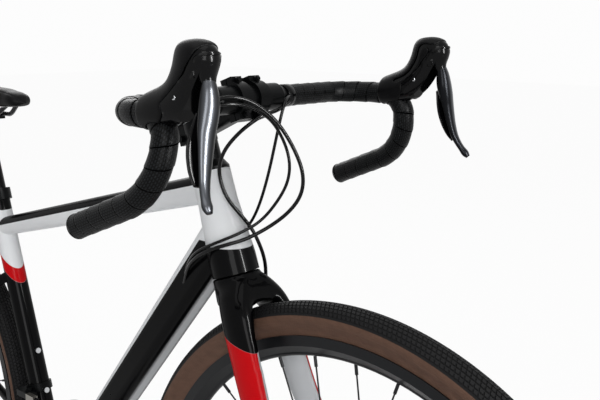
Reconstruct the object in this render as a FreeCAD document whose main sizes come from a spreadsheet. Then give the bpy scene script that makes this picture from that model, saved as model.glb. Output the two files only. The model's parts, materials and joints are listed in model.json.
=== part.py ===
import FreeCAD, Part
import math
import os
from types import SimpleNamespace
from FreeCAD import Placement, Rotation, Vector

# Gravel bike with a flared drop bar, disc brakes, two chainrings and nine sprockets.
# +X points forward, +Y to the rider's left and +Z up. The origin is on the ground, midway between the axles.

# Driving sizes in millimetres and degrees
SIZES = {
    # layout
    "wheelbase": 1000,
    "chainstay_length": 428,
    "bracket_drop": 70,
    "head_angle": 70.5,
    "seat_angle": 73.5,
    "fork_offset": 52,
    "fork_length": 390,
    "head_tube_length": 125,
    "seat_tube_length": 470,
    # frame tubes
    "head_tube_top_radius": 24,
    "head_tube_base_radius": 28.8,
    "headset_gap": 1,
    "headset_depth": 8,
    "headset_upper_radius": 21,
    "headset_lower_radius": 26,
    "head_tube_bore": 20.5,
    "top_tube_front_height": 36,
    "top_tube_front_width": 40,
    "top_tube_rear_height": 29,
    "top_tube_rear_width": 30,
    "top_tube_head_setback": 19,
    "top_tube_seat_setback": 58,
    "down_tube_head_height": 50,
    "down_tube_rear_offset": 10,
    "down_tube_front_height": 50,
    "down_tube_front_width": 46,
    "down_tube_rear_height": 41,
    "down_tube_rear_width": 44,
    "tube_corner": 14,
    "seat_tube_radius": 16,
    "bracket_shell_radius": 21.5,
    "bracket_shell_width": 68,
    "bracket_shell_bore": 17.5,
    "bracket_cup_radius": 20,
    "bracket_cup_width": 9,
    "stay_half_width": 5.5,
    "chainstay_half_height": 11,
    "seatstay_half_height": 8,
    "seatstay_drop": 135,
    "dropout_thickness": 8,
    "dropout_radius": 17,
    "eyelet_radius": 2.5,
    "bottle_bolt_height": 145,
    "bottle_bolt_spacing": 64,
    "bottle_bolt_radius": 4.2,
    # running clearance of shafts and clearance of fixed fits
    "running_gap": 0.06,
    "fit_gap": 0.05,
    # seat
    "post_radius": 13.6,
    "post_insert": 150,
    "collar_height": 16,
    "collar_wall": 3.6,
    "saddle_height": 646,
    "saddle_length": 275,
    "saddle_width": 142,
    "saddle_nose": 128,
    "rail_radius": 3.5,
    "rail_spacing": 44,
    "rail_drop": 15,
    # fork and headset
    "steerer_radius": 14.3,
    "steerer_base_radius": 19.8,
    "crown_clearance": 10,
    "fork_leg_spread": 58,
    "front_hub_width": 100,
    "cover_height": 12,
    "spacer_height": 12,
    "spacer_radius": 17.5,
    # stem and bar
    "stem_length": 85,
    "bar_height": 66,
    "stem_clamp_height": 40,
    "stem_wall": 4,
    "bar_clamp_width": 46,
    "bar_clamp_radius": 15.9,
    "bar_radius": 11,
    "bar_half_width": 188,
    "bar_corner": 46,
    "bar_reach": 86,
    "bar_upper_hook": 24,
    "bar_lower_hook": 69,
    "bar_hook_turn": 67,
    "bar_tail": 76,
    "bar_flare": 11.3,
    "tape_radius": 13.2,
    "tape_start": 61,
    "hood_skin": 2.4,
    "lever_pin_radius": 2.5,
    "paddle_thickness": 6,
    # wheels
    "bead_radius": 311,
    "tyre_height": 38,
    "tyre_width": 40,
    "tyre_wall": 3,
    "rim_width": 25,
    "rim_inner_radius": 286,
    "rim_wall": 2.5,
    "spoke_count": 32,
    "spoke_radius": 1,
    "nipple_radius": 1.9,
    "axle_radius": 6,
    "hub_shell_radius": 11,
    "flange_radius": 24,
    "flange_thickness": 7,
    "rear_hub_width": 142,
    "rotor_radius": 80,
    "rotor_thickness": 1.8,
    "rotor_setback": 11,
    # drive
    "chain_pitch": 12.7,
    "chain_roller_radius": 3.85,
    "chain_line": 47,
    "large_ring_teeth": 48,
    "small_ring_teeth": 32,
    "ring_spacing": 7.4,
    "ring_thickness": 1.9,
    "sprocket_thickness": 1.8,
    "sprocket_spacing": 4.35,
    "freehub_radius": 17,
    "pulley_teeth": 11,
    "crank_length": 170,
    "crank_inner_face": 63,
    "crank_thickness": 14,
    "spindle_radius": 12,
    "pedal_axle_radius": 5.5,
    "pedal_length": 96,
    "pedal_width": 98,
    "pedal_thickness": 15,
    "cage_length": 56,
    "cage_plate": 1.6,
    "cage_gap": 9.6,
    "derailleur_link": 45,
    "link_height": 12,
    "link_half_width": 3.4,
    "link_pin_radius": 1.8,
    # brakes and cables
    "caliper_thickness": 26,
    "caliper_slot": 3.8,
    "caliper_pin_radius": 3,
    "arm_thickness": 4,
    "brake_housing_radius": 2.5,
    "shift_housing_radius": 2,
}
SPROCKET_TEETH = (32, 28, 24, 21, 18, 16, 14, 12, 11)
CHAIN_SPROCKET = 4

doc = FreeCAD.newDocument("gravel_bike")
sheet = doc.addObject("Spreadsheet::Sheet", "sizes")
for row, (alias, value) in enumerate(SIZES.items(), start=1):
    sheet.set(f"A{row}", alias.replace("_", " "))
    sheet.set(f"B{row}", str(value))
    sheet.setAlias(f"B{row}", alias)
doc.recompute()
size = SimpleNamespace(**{alias: float(sheet.get(alias)) for alias in SIZES})

X, Y, Z = Vector(1, 0, 0), Vector(0, 1, 0), Vector(0, 0, 1)
nodes = []


# Helpers: outlines, bodies, primitives and booleans

def edges_of(outline):
    """Edges of a closed outline: (x, y) ends a straight line, (xm, ym, x, y) an arc through xm, ym."""
    ends = [Vector(*step[-2:], 0) for step in outline]
    edges = []
    for before, step, here in zip(ends[-1:] + ends[:-1], outline, ends):
        if len(step) == 2 and not before.isEqual(here, 1e-6):
            edges.append(Part.LineSegment(before, here))
        elif len(step) == 4:
            edges.append(Part.ArcOfCircle(before, Vector(*step[:2], 0), here))
    return edges


def wire_of(outline, place=Placement()):
    wire = Part.Wire([edge.toShape() for edge in edges_of(outline)])
    wire.Placement = place
    return wire


def new_body(label, place, role, geometry):
    """Body with one sketch on the named plane of its own origin."""
    body = doc.addObject("PartDesign::Body", label)
    body.Placement = place
    plane = next(item for item in body.Origin.OriginFeatures if item.Role == role)
    sketch = body.newObject("Sketcher::SketchObject", label + "_sketch")
    sketch.AttachmentSupport = [(plane, "")]
    sketch.MapMode = "FlatFace"
    sketch.addGeometry(geometry, False)
    return body, sketch


def turned(label, outline, place):
    """Revolved body: the outline holds (radius, height) pairs about the local z axis."""
    body, sketch = new_body(label, place, "XZ_Plane", edges_of(outline))
    spin = body.newObject("PartDesign::Revolution", label + "_spin")
    spin.Profile = sketch
    spin.ReferenceAxis = (sketch, ["V_Axis"])
    spin.Angle = 360
    return body


def padded(label, outline, holes, thickness, place):
    """Padded body, half the thickness on either side of the local xy plane, with round holes (x, y, radius)."""
    rounds = [Part.Circle(Vector(x, y, 0), Z, radius) for x, y, radius in holes]
    body, sketch = new_body(label, place, "XY_Plane", edges_of(outline) + rounds)
    pad = body.newObject("PartDesign::Pad", label + "_pad")
    pad.Profile = sketch
    pad.SideType = "Symmetric"
    pad.setExpression("Length", thickness)
    return body


def rod(name, radius, length, start, direction):
    """Cylinder from start along direction; radius and length are expressions on the sheet."""
    item = doc.addObject("Part::Cylinder", name)
    item.setExpression("Radius", radius)
    item.setExpression("Height", length)
    item.Placement = Placement(start, Rotation(Z, direction))
    return item


def box(name, low, high, place=Placement()):
    """Box between two corners of a local frame."""
    item = doc.addObject("Part::Box", name)
    item.Length, item.Width, item.Height = high - low
    item.Placement = place * Placement(low, Rotation())
    return item


def shaped(name, shape):
    item = doc.addObject("Part::Feature", name)
    item.Shape = shape
    return item


def lofted(name, wires):
    """Solid loft through the wires, each kept in the document as a section."""
    loft = doc.addObject("Part::Loft", name)
    loft.Sections = [shaped(f"{name}_section", wire) for wire in wires]
    loft.Solid = True
    return loft


def swept(name, path, section):
    """Solid sweep of a round or oval section along a wire."""
    spine = shaped(name + "_path", path)
    sweep = doc.addObject("Part::Sweep", name)
    sweep.Sections = [section]
    sweep.Spine = (spine, [f"Edge{count + 1}" for count in range(len(path.Edges))])
    sweep.Solid = True
    return sweep


def circle_section(name, radius, start, direction):
    section = doc.addObject("Part::Circle", name)
    section.setExpression("Radius", radius)
    section.Placement = Placement(start, Rotation(Z, direction))
    return section


def cut(name, base, *tools):
    item = doc.addObject("Part::Cut", name)
    item.Base = base
    item.Tool = tools[0] if len(tools) == 1 else fused(name + "_tools", *tools)
    return item


def common(name, base, tool):
    item = doc.addObject("Part::Common", name)
    item.Base, item.Tool = base, tool
    return item


def fused(name, *items):
    item = doc.addObject("Part::MultiFuse", name)
    item.Shapes = list(items)
    return item


def grouped(name, *items):
    item = doc.addObject("Part::Compound", name)
    item.Links = list(items)
    return item


def mirrored(name, source):
    """Copy on the other side of the bike's middle plane."""
    item = doc.addObject("Part::Mirroring", name)
    item.Source = source
    item.Normal = Y
    return item


def finished(label, item):
    item.Label = label
    nodes.append(item)
    return item


def turn_point(centre, radius, angle):
    return Vector(centre.x + radius * math.cos(angle), centre.y, centre.z + radius * math.sin(angle))


def rounded(width, height, corner, place):
    """Rounded rectangle wire in the local xy plane, with its middle at the origin."""
    half_w, half_h = width / 2, height / 2
    corner = min(corner, 0.95 * half_w, 0.95 * half_h)
    slant = corner * (1 - math.sqrt(0.5))
    outline = []
    for sx, sy in ((1, -1), (1, 1), (-1, 1), (-1, -1)):
        ends = [(sx * (half_w - corner), sy * half_h), (sx * half_w, sy * (half_h - corner))]
        first, last = ends if sx * sy < 0 else ends[::-1]
        outline += [first, (sx * (half_w - slant), sy * (half_h - slant), *last)]
    return wire_of(outline, place)


def oval(half_a, half_b, place):
    """Ellipse wire with half axis half_a along local x and half_b along local y."""
    if half_a >= half_b:
        curve = Part.Ellipse(Vector(), half_a, half_b)
    else:
        curve = Part.Ellipse(Vector(0, half_b, 0), Vector(-half_a, 0, 0), Vector())
    wire = Part.Wire([curve.toShape()])
    wire.Placement = place
    return wire


def bent_path(points, share=0.45):
    """Straight runs joined by tangent arcs, each with the radius that the share of its shorter run allows."""
    edges, here, radii = [], points[0], []
    for before, corner, after in zip(points, points[1:], points[2:]):
        inward, outward = (before - corner).normalize(), (after - corner).normalize()
        half_turn = (math.pi - inward.getAngle(outward)) / 2
        reach = share * min((before - corner).Length, (after - corner).Length)
        radius = reach / math.tan(half_turn)
        first, last = corner + inward * reach, corner + outward * reach
        bisector = (inward + outward).normalize()
        middle = corner + bisector * (radius / math.cos(half_turn) - radius)
        edges += [Part.LineSegment(here, first).toShape(), Part.Arc(first, middle, last).toShape()]
        here = last
        radii.append(radius)
    edges.append(Part.LineSegment(here, points[-1]).toShape())
    return Part.Wire(edges), radii


# Main points of the layout

axle_height = size.bead_radius + size.tyre_height
front_axle = Vector(size.wheelbase / 2, 0, axle_height)
rear_axle = Vector(-size.wheelbase / 2, 0, axle_height)
bracket_reach = math.sqrt(size.chainstay_length ** 2 - size.bracket_drop ** 2)
bracket = rear_axle + Vector(bracket_reach, 0, -size.bracket_drop)


def leaning(origin, angle):
    """Frame whose z axis leans back to stand at the given angle to the ground, with x forward."""
    return Placement(origin, Rotation(Y, angle - 90))


def along(place, x, y, z):
    return place.multVec(Vector(x, y, z))


steer_turn = Rotation(Y, size.head_angle - 90)
crown = front_axle + steer_turn.multVec(Vector(-size.fork_offset, 0, size.fork_length))
steer = Placement(crown, steer_turn)
steer_axis = steer_turn.multVec(Z)
seat = leaning(bracket, size.seat_angle)
seat_axis = seat.Rotation.multVec(Z)
SIDEWAYS = Rotation(X, -90)
ACROSS = Rotation(X, 90)


# Head tube with its bearing seats, and the two headset bearings

tube_base = size.headset_gap
tube_top = size.headset_gap + size.head_tube_length
head_outer = [
    (size.head_tube_base_radius, tube_base),
    (size.head_tube_base_radius, tube_base + 0.16 * size.head_tube_length),
    (size.head_tube_top_radius, tube_base + 0.7 * size.head_tube_length),
    (size.head_tube_top_radius, tube_top),
]
head_inner = [
    (size.headset_upper_radius, tube_top),
    (size.headset_upper_radius, tube_top - size.headset_depth),
    (size.head_tube_bore, tube_top - size.headset_depth),
    (size.head_tube_bore, tube_base + size.headset_depth),
    (size.headset_lower_radius, tube_base + size.headset_depth),
    (size.headset_lower_radius, tube_base),
]
finished("head_tube", turned("head_tube", head_outer + head_inner, steer))
above_head = tube_top + 30
head_blank = turned("head_blank", head_outer + [
    (size.head_tube_top_radius, above_head), (0, above_head), (0, tube_base)], steer)


def ring(label, inner, outer, low, high, place):
    return turned(label, [(inner, low), (outer, low), (outer, high), (inner, high)], place)


lower_bearing = ring(
    "lower_bearing", size.steerer_base_radius + size.running_gap, size.headset_lower_radius - size.fit_gap,
    tube_base + size.fit_gap, tube_base + size.headset_depth - size.fit_gap, steer)
upper_bearing = ring(
    "upper_bearing", size.steerer_radius + size.running_gap, size.headset_upper_radius - size.fit_gap,
    tube_top - size.headset_depth + size.fit_gap, tube_top - size.fit_gap, steer)

# Seat tube with a bore for the post and a clamping slot, and the bottom bracket shell

seat_tube_wall = turned("seat_tube_wall", [
    (size.post_radius + size.running_gap, size.bracket_shell_radius),
    (size.seat_tube_radius, size.bracket_shell_radius - 8),
    (size.seat_tube_radius, size.seat_tube_length),
    (size.post_radius + size.running_gap, size.seat_tube_length)], seat)
clamp_slot = box("clamp_slot", Vector(-size.seat_tube_radius - 2, -1.5, size.seat_tube_length - 32),
                 Vector(-5, 1.5, size.seat_tube_length + 1), seat)
half_shell = size.bracket_shell_width / 2
shell_place = Placement(bracket, SIDEWAYS)
shell_blank = turned("shell_blank", [
    (0, -half_shell), (size.bracket_shell_radius, -half_shell),
    (size.bracket_shell_radius, half_shell), (0, half_shell)], shell_place)
finished("seat_tube", cut("seat_tube", seat_tube_wall, clamp_slot, shell_blank))
finished("bottom_bracket_shell", ring(
    "bottom_bracket_shell", size.bracket_shell_bore, size.bracket_shell_radius,
    -half_shell, half_shell, shell_place))
seat_blank = turned("seat_blank", [
    (0, 0), (size.seat_tube_radius, 0), (size.seat_tube_radius, size.seat_tube_length),
    (0, size.seat_tube_length)], seat)


def bracket_cup(name, side):
    """Outboard bearing cup: a sleeve inside the shell and a rim outside it."""
    bore = size.spindle_radius + size.running_gap
    sleeve = size.bracket_shell_bore - size.fit_gap
    outline = [(bore, half_shell - 14), (sleeve, half_shell - 14), (sleeve, half_shell),
               (size.bracket_cup_radius, half_shell),
               (size.bracket_cup_radius, half_shell + size.bracket_cup_width),
               (bore, half_shell + size.bracket_cup_width)]
    return turned(name, outline, Placement(bracket, SIDEWAYS if side > 0 else ACROSS))


finished("frame_bearings", grouped("frame_bearings", lower_bearing, upper_bearing,
                                   bracket_cup("left_cup", 1), bracket_cup("right_cup", -1)))


# Top tube and down tube, lofted between rounded sections and mitred on their neighbours

def tube_loft(name, start, end, first, last):
    """Loft from start to end; first and last are (width across the bike, height) of the end sections."""
    direction = (end - start).normalize()
    turn = Rotation(Y, Y.cross(direction) * -1, direction, "ZXY")
    wires = [rounded(width, height, size.tube_corner, Placement(point, turn))
             for point, (width, height) in ((start, first), (end, last))]
    return lofted(name, wires)


top_tube_front = along(steer, 0, 0, tube_top - size.top_tube_head_setback)
top_tube_rear = along(seat, 0, 0, size.seat_tube_length - size.top_tube_seat_setback)
top_tube_loft = tube_loft("top_tube_loft", top_tube_rear, top_tube_front,
                          (size.top_tube_rear_width, size.top_tube_rear_height),
                          (size.top_tube_front_width, size.top_tube_front_height))
finished("top_tube", cut("top_tube", top_tube_loft, head_blank, seat_blank))

down_tube_front = along(steer, 0, 0, size.down_tube_head_height)
down_tube_rear = bracket + X * size.down_tube_rear_offset
down_tube_loft = tube_loft("down_tube_loft", down_tube_rear, down_tube_front,
                           (size.down_tube_rear_width, size.down_tube_rear_height),
                           (size.down_tube_front_width, size.down_tube_front_height))
behind_seat = box("behind_seat", Vector(-80, -60, -60), Vector(0, 60, 140), seat)
down_tube = finished("down_tube", cut(
    "down_tube", down_tube_loft, head_blank, seat_blank, shell_blank, top_tube_loft, behind_seat))

# Dropouts: a round boss with arms to both stays, threaded eyelets, and the derailleur hanger on the right

half_rear = size.rear_hub_width / 2
chainstay_direction = (rear_axle - bracket).normalize()
stay_joint = along(seat, 0, 0, size.seat_tube_length - size.seatstay_drop)
seatstay_direction = (stay_joint - rear_axle).normalize()
dropout_middle = half_rear + size.dropout_thickness / 2
eyelet = rear_axle + Vector(-14, 0, 30)
hanger_bolt = rear_axle + Vector(-9, 0, -28)


def arm(name, start, end, half_width, y, thickness):
    """Flat bar with round ends between two points of the side view."""
    step = end - start
    heading = Rotation(Z, math.degrees(math.atan2(step.z, step.x)))
    place = Placement(Vector(start.x, y, start.z), ACROSS * heading)
    reach = step.Length
    outline = [(0, half_width), (-half_width, 0, 0, -half_width), (reach, -half_width),
               (reach + half_width, 0, reach, half_width)]
    return padded(name, outline, [], thickness, place)


def dropout(name, side):
    y = side * dropout_middle
    thickness = "sizes.dropout_thickness"
    boss = rod(name + "_boss", "sizes.dropout_radius", thickness,
               Vector(rear_axle.x, side * half_rear, rear_axle.z), Y * side)
    pieces = [
        boss,
        arm(name + "_lower", rear_axle, rear_axle - chainstay_direction * 52, 8, y, thickness),
        arm(name + "_upper", rear_axle, rear_axle + seatstay_direction * 52, 7, y, thickness),
        arm(name + "_tab", rear_axle, eyelet, 6.5, y, thickness),
    ]
    holes = [
        rod(name + "_axle_hole", "sizes.axle_radius + sizes.fit_gap", "2 * sizes.dropout_thickness",
            rear_axle + Y * side * (half_rear - 4), Y * side),
        rod(name + "_eyelet", "sizes.eyelet_radius", "2 * sizes.dropout_thickness",
            eyelet + Y * side * (half_rear - 4), Y * side),
    ]
    if side < 0:
        pieces.append(arm(name + "_hanger", rear_axle, hanger_bolt, 9, y, thickness))
        holes.append(rod(name + "_hanger_hole", "5", "2 * sizes.dropout_thickness",
                         hanger_bolt + Y * side * (half_rear - 4), Y * side))
    return cut(name, fused(name + "_blank", *pieces), *holes)


# Stays: oval tubes that clear the tyre, the rotor and the sprockets, mitred on the shell and the seat tube

def stay(name, origin, direction, route, half_height, side, *neighbours):
    """Oval sweep; route holds (distance along direction, distance from the middle plane)."""
    points = [origin + direction * reach + Y * side * offset for reach, offset in route]
    path, radii = bent_path(points)
    start = (points[1] - points[0]).normalize()
    upright = start.cross(Y).normalize()
    section = shaped(name + "_oval", oval(size.stay_half_width, half_height, Placement(
        points[0], Rotation(upright.cross(start) * -1, upright, start, "ZYX"))))
    return cut(name, swept(name + "_sweep", path, section), *neighbours)


tyre_side = size.tyre_width / 2
chainstay_route = [(12, 19), (60, 25), (110, tyre_side + 12), (240, 56), (330, half_rear - 2),
                   (size.chainstay_length - 40, dropout_middle)]
seatstay_reach = (stay_joint - rear_axle).Length
seatstay_route = [(40, dropout_middle), (130, half_rear - 6), (260, 47), (345, tyre_side + 14),
                  (seatstay_reach - 20, 22), (seatstay_reach, 10)]
stays, dropouts = [], []
for side, hand in ((1, "left"), (-1, "right")):
    chainstay = stay(hand + "_chainstay", bracket, chainstay_direction, chainstay_route,
                     size.chainstay_half_height, side, shell_blank)
    seatstay = stay(hand + "_seatstay", rear_axle, seatstay_direction, seatstay_route,
                    size.seatstay_half_height, side, seat_blank)
    stays += [chainstay, seatstay]
    dropouts.append(cut(hand + "_dropout", dropout(hand + "_plate", side), chainstay, seatstay))
rear_stays = finished("rear_stays", grouped("rear_stays", *stays))
finished("rear_dropouts", grouped("rear_dropouts", *dropouts))

# Seat collar with its bolt, seat post with the saddle clamp, rails and saddle

collar_inner = size.seat_tube_radius + size.fit_gap
collar_outer = collar_inner + size.collar_wall
collar_low = size.seat_tube_length - size.collar_height
collar_ring = ring("collar_ring", collar_inner, collar_outer, collar_low, size.seat_tube_length + 1.5, seat)
collar_lug = box("collar_lug", Vector(-collar_outer - 8, -8, collar_low),
                 Vector(-collar_inner - 0.5, 8, size.seat_tube_length), seat)
collar_gap = box("collar_gap", Vector(-collar_outer - 10, -1.2, collar_low - 1),
                 Vector(-collar_inner + 4, 1.2, size.seat_tube_length + 3), seat)
collar_bolt = rod("collar_bolt", "2.5", "20", along(seat, -collar_outer - 3.5, -10, collar_low + 8), Y)
collar_bolt_head = rod("collar_bolt_head", "4.2", "4", along(seat, -collar_outer - 3.5, -12, collar_low + 8), Y)
collar_body = fused("collar_body", collar_ring, collar_lug)
collar_cut = cut("collar_cut", collar_body, collar_gap, collar_bolt, collar_bolt_head, seat_blank)
finished("seat_clamp", grouped("seat_clamp", collar_cut, fused("collar_screw", collar_bolt, collar_bolt_head)))

saddle_base = bracket.z + (size.saddle_height - 35) * math.sin(math.radians(size.seat_angle))
rail_height = saddle_base - size.rail_drop
post_top = (rail_height - 6 - bracket.z) / math.sin(math.radians(size.seat_angle))
post_centre = along(seat, 0, 0, post_top)
saddle_front = post_centre.x + size.saddle_nose


def saddle_section(back, half_width, low, high):
    """Cross-section behind the nose: flat base, round flanks and a crowned top."""
    base, top = saddle_base + low, saddle_base + high
    flank = base + 0.45 * (top - base)
    shoulder = base + 0.8 * (top - base)
    outline = [(-0.84 * half_width, base), (0.84 * half_width, base),
               (half_width, flank, 0.82 * half_width, shoulder),
               (0, top, -0.82 * half_width, shoulder),
               (-half_width, flank, -0.84 * half_width, base)]
    return wire_of(outline, Placement(Vector(saddle_front - back, 0, 0), Rotation(Y, Z, X, "ZXY")))


half_saddle = size.saddle_width / 2
# share of the length, share of the half width, base and top above the saddle's datum
SADDLE_SHAPE = [(0, 0.10, 6, 13), (0.03, 0.20, 4, 19), (0.14, 0.27, 1, 26), (0.33, 0.36, 0, 29),
                (0.55, 0.62, -1, 31), (0.75, 0.93, 1, 35), (0.91, 1.0, 7, 40), (1.0, 0.74, 18, 39)]
saddle_wires = [saddle_section(share * size.saddle_length, width * half_saddle, low, high)
                for share, width, low, high in SADDLE_SHAPE]
saddle = finished("saddle", lofted("saddle", saddle_wires))

rails = []
for side in (1, -1):
    hand = "left" if side > 0 else "right"
    spread = size.rail_spacing / 2
    points = [Vector(saddle_front - 38, side * 9, saddle_base + 3),
              Vector(saddle_front - 62, side * 13, rail_height + 2),
              Vector(saddle_front - 92, side * spread, rail_height),
              Vector(saddle_front - 185, side * (spread + 0.5), rail_height),
              Vector(saddle_front - 232, side * (spread + 8), saddle_base + 8)]
    path, radii = bent_path(points)
    section = circle_section(hand + "_rail_section", "sizes.rail_radius", points[0], points[1] - points[0])
    rails.append(cut(hand + "_rail", swept(hand + "_rail_sweep", path, section), saddle))
finished("saddle_rails", grouped("saddle_rails", *rails))

clamp_place = Placement(Vector(post_centre.x, 0, rail_height), Rotation())
clamp_half = size.rail_spacing / 2 + size.rail_radius + 4
post_bottom = size.seat_tube_length - size.post_insert
post_rod = rod("post_rod", "sizes.post_radius", f"{post_top - post_bottom - 5}",
               along(seat, 0, 0, post_bottom), seat_axis)
cradle = box("cradle", Vector(-20, -clamp_half, -9), Vector(20, clamp_half, -0.5), clamp_place)
clamp_plate = box("clamp_plate", Vector(-18, -clamp_half, 0.5), Vector(18, clamp_half, 7), clamp_place)
clamp_screws = [rod("clamp_screw", "3", "24", along(clamp_place, x, 0, -14), Z) for x in (-14, 14)]
post_head = cut("post_head", fused("post_and_cradle", post_rod, cradle), *rails, *clamp_screws)
plate_cut = cut("clamp_plate_cut", clamp_plate, *rails, *clamp_screws)
finished("seatpost", grouped("seatpost", post_head, plate_cut, *clamp_screws))

# Fork: tapered steerer, crown and two legs with disc dropouts, all one piece

steerer_top = tube_top + 0.6 + size.cover_height + 2 * size.spacer_height + size.stem_clamp_height - 3
steerer = turned("steerer", [
    (0, -20), (size.steerer_base_radius, -20), (size.steerer_base_radius, size.headset_depth + 2),
    (size.steerer_radius, 0.45 * size.head_tube_length), (size.steerer_radius, steerer_top),
    (0, steerer_top)], steer)
crown_top = turned("crown_top", [
    (0, -34), (31, -34), (size.head_tube_base_radius, 0), (0, 0)], steer)
half_front = size.front_hub_width / 2
# height below the crown, shares of the fork's offset and spread, half length and half width of the section
LEG_SHAPE = [(-6, 0.10, 0.22, 24, 15), (-30, 0.28, 0.45, 23, 16.5), (-58, 0.37, 0.60, 22.5, 13.5),
             (-100, 0.39, 0.65, 22, 11.2), (-150, 0.43, 0.70, 20.5, 10.5), (-200, 0.525, 0.765, 18, 9.7),
             (-250, 0.65, 0.83, 15.5, 8.9), (-300, 0.775, 0.89, 13.2, 8), (-350, 0.90, 0.945, 11, 6.8),
             (-388, 1.0, 0.965, 10, 5.4)]


def fork_leg(name, side):
    wires = []
    for height, forward, outward, half_length, half_width in LEG_SHAPE:
        centre = along(steer, forward * size.fork_offset, side * outward * size.fork_leg_spread, height)
        wires.append(oval(half_length, half_width, Placement(centre, steer_turn)))
    return lofted(name, wires)


def fork_end(name, side):
    return rod(name, "15", "12", front_axle + Y * side * half_front, Y * side)


fork_eyelet = front_axle + Vector(-14, 0, 11)
fork_pieces = [steerer, crown_top]
fork_holes = [
    rod("tyre_arch", f"{axle_height + size.crown_clearance}", "54", front_axle - Y * 27, Y),
    rod("front_axle_hole", "sizes.axle_radius + sizes.fit_gap", "sizes.front_hub_width + 40",
        front_axle - Y * (half_front + 20), Y),
    rod("front_gap", "22", "sizes.front_hub_width", front_axle - Y * half_front, Y),
]
for side in (1, -1):
    hand = "left" if side > 0 else "right"
    fork_pieces.append(fork_leg(hand + "_leg", side))
    fork_pieces.append(fork_end(hand + "_fork_end", side))
    fork_pieces.append(rod(hand + "_fork_tab", "6.5", "8", fork_eyelet + Y * side * (half_front + 2), Y * side))
    fork_holes.append(rod(hand + "_fork_eyelet", "sizes.eyelet_radius", "20",
                          fork_eyelet + Y * side * (half_front - 2), Y * side))
fork = finished("fork", cut("fork", fused("fork_blank", *fork_pieces), *fork_holes))

cover_base = tube_top + 0.6
cover_top = cover_base + size.cover_height
steerer_bore = size.steerer_radius + size.fit_gap
cover = turned("headset_cover", [
    (steerer_bore, cover_base), (size.head_tube_top_radius, cover_base),
    (size.head_tube_top_radius, cover_base + 3), (size.spacer_radius + 1, cover_top),
    (steerer_bore, cover_top)], steer)
spacers = [ring("spacer", steerer_bore, size.spacer_radius, cover_top + count * size.spacer_height,
                cover_top + (count + 1) * size.spacer_height - 0.1, steer) for count in range(2)]
stem_low = cover_top + 2 * size.spacer_height
stem_high = stem_low + size.stem_clamp_height
top_cap = turned("top_cap", [
    (0, steerer_top), (steerer_bore - 0.1, steerer_top), (steerer_bore - 0.1, stem_high),
    (size.spacer_radius, stem_high), (size.spacer_radius - 2, stem_high + 3), (0, stem_high + 4)], steer)
finished("headset_spacers", grouped("headset_spacers", cover, *spacers, top_cap))

# Stem, its two-band faceplate and its bolts

bar_local = Vector(size.stem_length, 0, tube_top + size.bar_height)
bar_centre = steer.multVec(bar_local)
stem_middle = (stem_low + stem_high) / 2
clamp_outer = size.bar_clamp_radius + size.stem_wall
half_clamp = size.bar_clamp_width / 2
collar = ring("stem_collar", 0.1, size.steerer_radius + size.stem_wall, stem_low, stem_high, steer)
clamp_barrel = rod("clamp_barrel", "sizes.bar_clamp_radius + sizes.stem_wall", "sizes.bar_clamp_width",
                   bar_centre - Y * half_clamp, Y)
ear_height = clamp_outer + 4.5
clamp_ears = box("clamp_ears", bar_local + Vector(-9, -half_clamp, -ear_height),
                 bar_local + Vector(8, half_clamp, ear_height), steer)
clamp_blank = fused("clamp_blank", clamp_barrel, clamp_ears)
stem_tube = lofted("stem_tube", [
    rounded(34, 32, 11, steer * Placement(Vector(4, 0, stem_middle), Rotation(Y, 90))),
    rounded(38, 34, 11, steer * Placement(bar_local - Vector(10, 0, 0), Rotation(Y, 90)))])
front_half = box("front_half", bar_local + Vector(0.6, -60, -60), bar_local + Vector(60, 60, 60), steer)
rear_half = box("rear_half", bar_local + Vector(-60, -60, -60), bar_local + Vector(-0.6, 60, 60), steer)
face_window = box("face_window", bar_local + Vector(0, -6, -clamp_outer - 20),
                  bar_local + Vector(60, 6, clamp_outer + 20), steer)
bar_bore = rod("bar_bore", "sizes.bar_clamp_radius + sizes.fit_gap", "200", bar_centre - Y * 100, Y)
steerer_hole = rod("steerer_hole", "sizes.steerer_radius + sizes.fit_gap", "200",
                   along(steer, 0, 0, stem_low - 50), steer_axis)
forward = steer_turn.multVec(X)
face_bolts = []
for across in (-15.5, 15.5):
    for up in (-1, 1):
        seat_point = steer.multVec(bar_local + Vector(8, across, up * (ear_height - 4.8)))
        shank = rod("face_bolt", "2.4", "22", seat_point - forward * 16, forward)
        head = rod("face_bolt_head", "3.4", "4", seat_point, forward)
        face_bolts.append(fused("face_screw", shank, head))
rear_bolts = []
for up in (-10, 10):
    screw_x, screw_z = -size.steerer_radius - 5, stem_middle + up
    shank = rod("collar_screw_shank", "2.4", "30", along(steer, screw_x, -15, screw_z), Y)
    head = rod("collar_screw_head", "4", "4", along(steer, screw_x, -18, screw_z), Y)
    rear_bolts.append(fused("stem_screw", shank, head))
stem_lug = box("stem_lug", Vector(-size.steerer_radius - 11, -14, stem_low + 2),
               Vector(0, 14, stem_high - 2), steer)
stem_slit = box("stem_slit", Vector(-60, -0.8, stem_low - 5), Vector(-10, 0.8, stem_high + 5), steer)
stem_blank = fused("stem_blank", collar, stem_lug, stem_tube, common("clamp_back", clamp_blank, rear_half))
stem_cuts = [bar_bore, steerer_hole, front_half, stem_slit] + face_bolts + rear_bolts
finished("stem", cut("stem", stem_blank, *stem_cuts))
finished("stem_faceplate", cut("stem_faceplate", common("clamp_front", clamp_blank, front_half),
                               bar_bore, face_window, *face_bolts))
finished("stem_bolts", grouped("stem_bolts", *face_bolts, *rear_bolts))

# Drop bar: straight tops, corners, ramps, two hook radii and flared tails, mirrored about the middle

flare = math.radians(size.bar_flare)
DOWN = Vector(0, math.sin(flare), -math.cos(flare))
hook_turn = math.radians(size.bar_hook_turn)
ramp_end = size.bar_reach - size.bar_upper_hook


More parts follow.
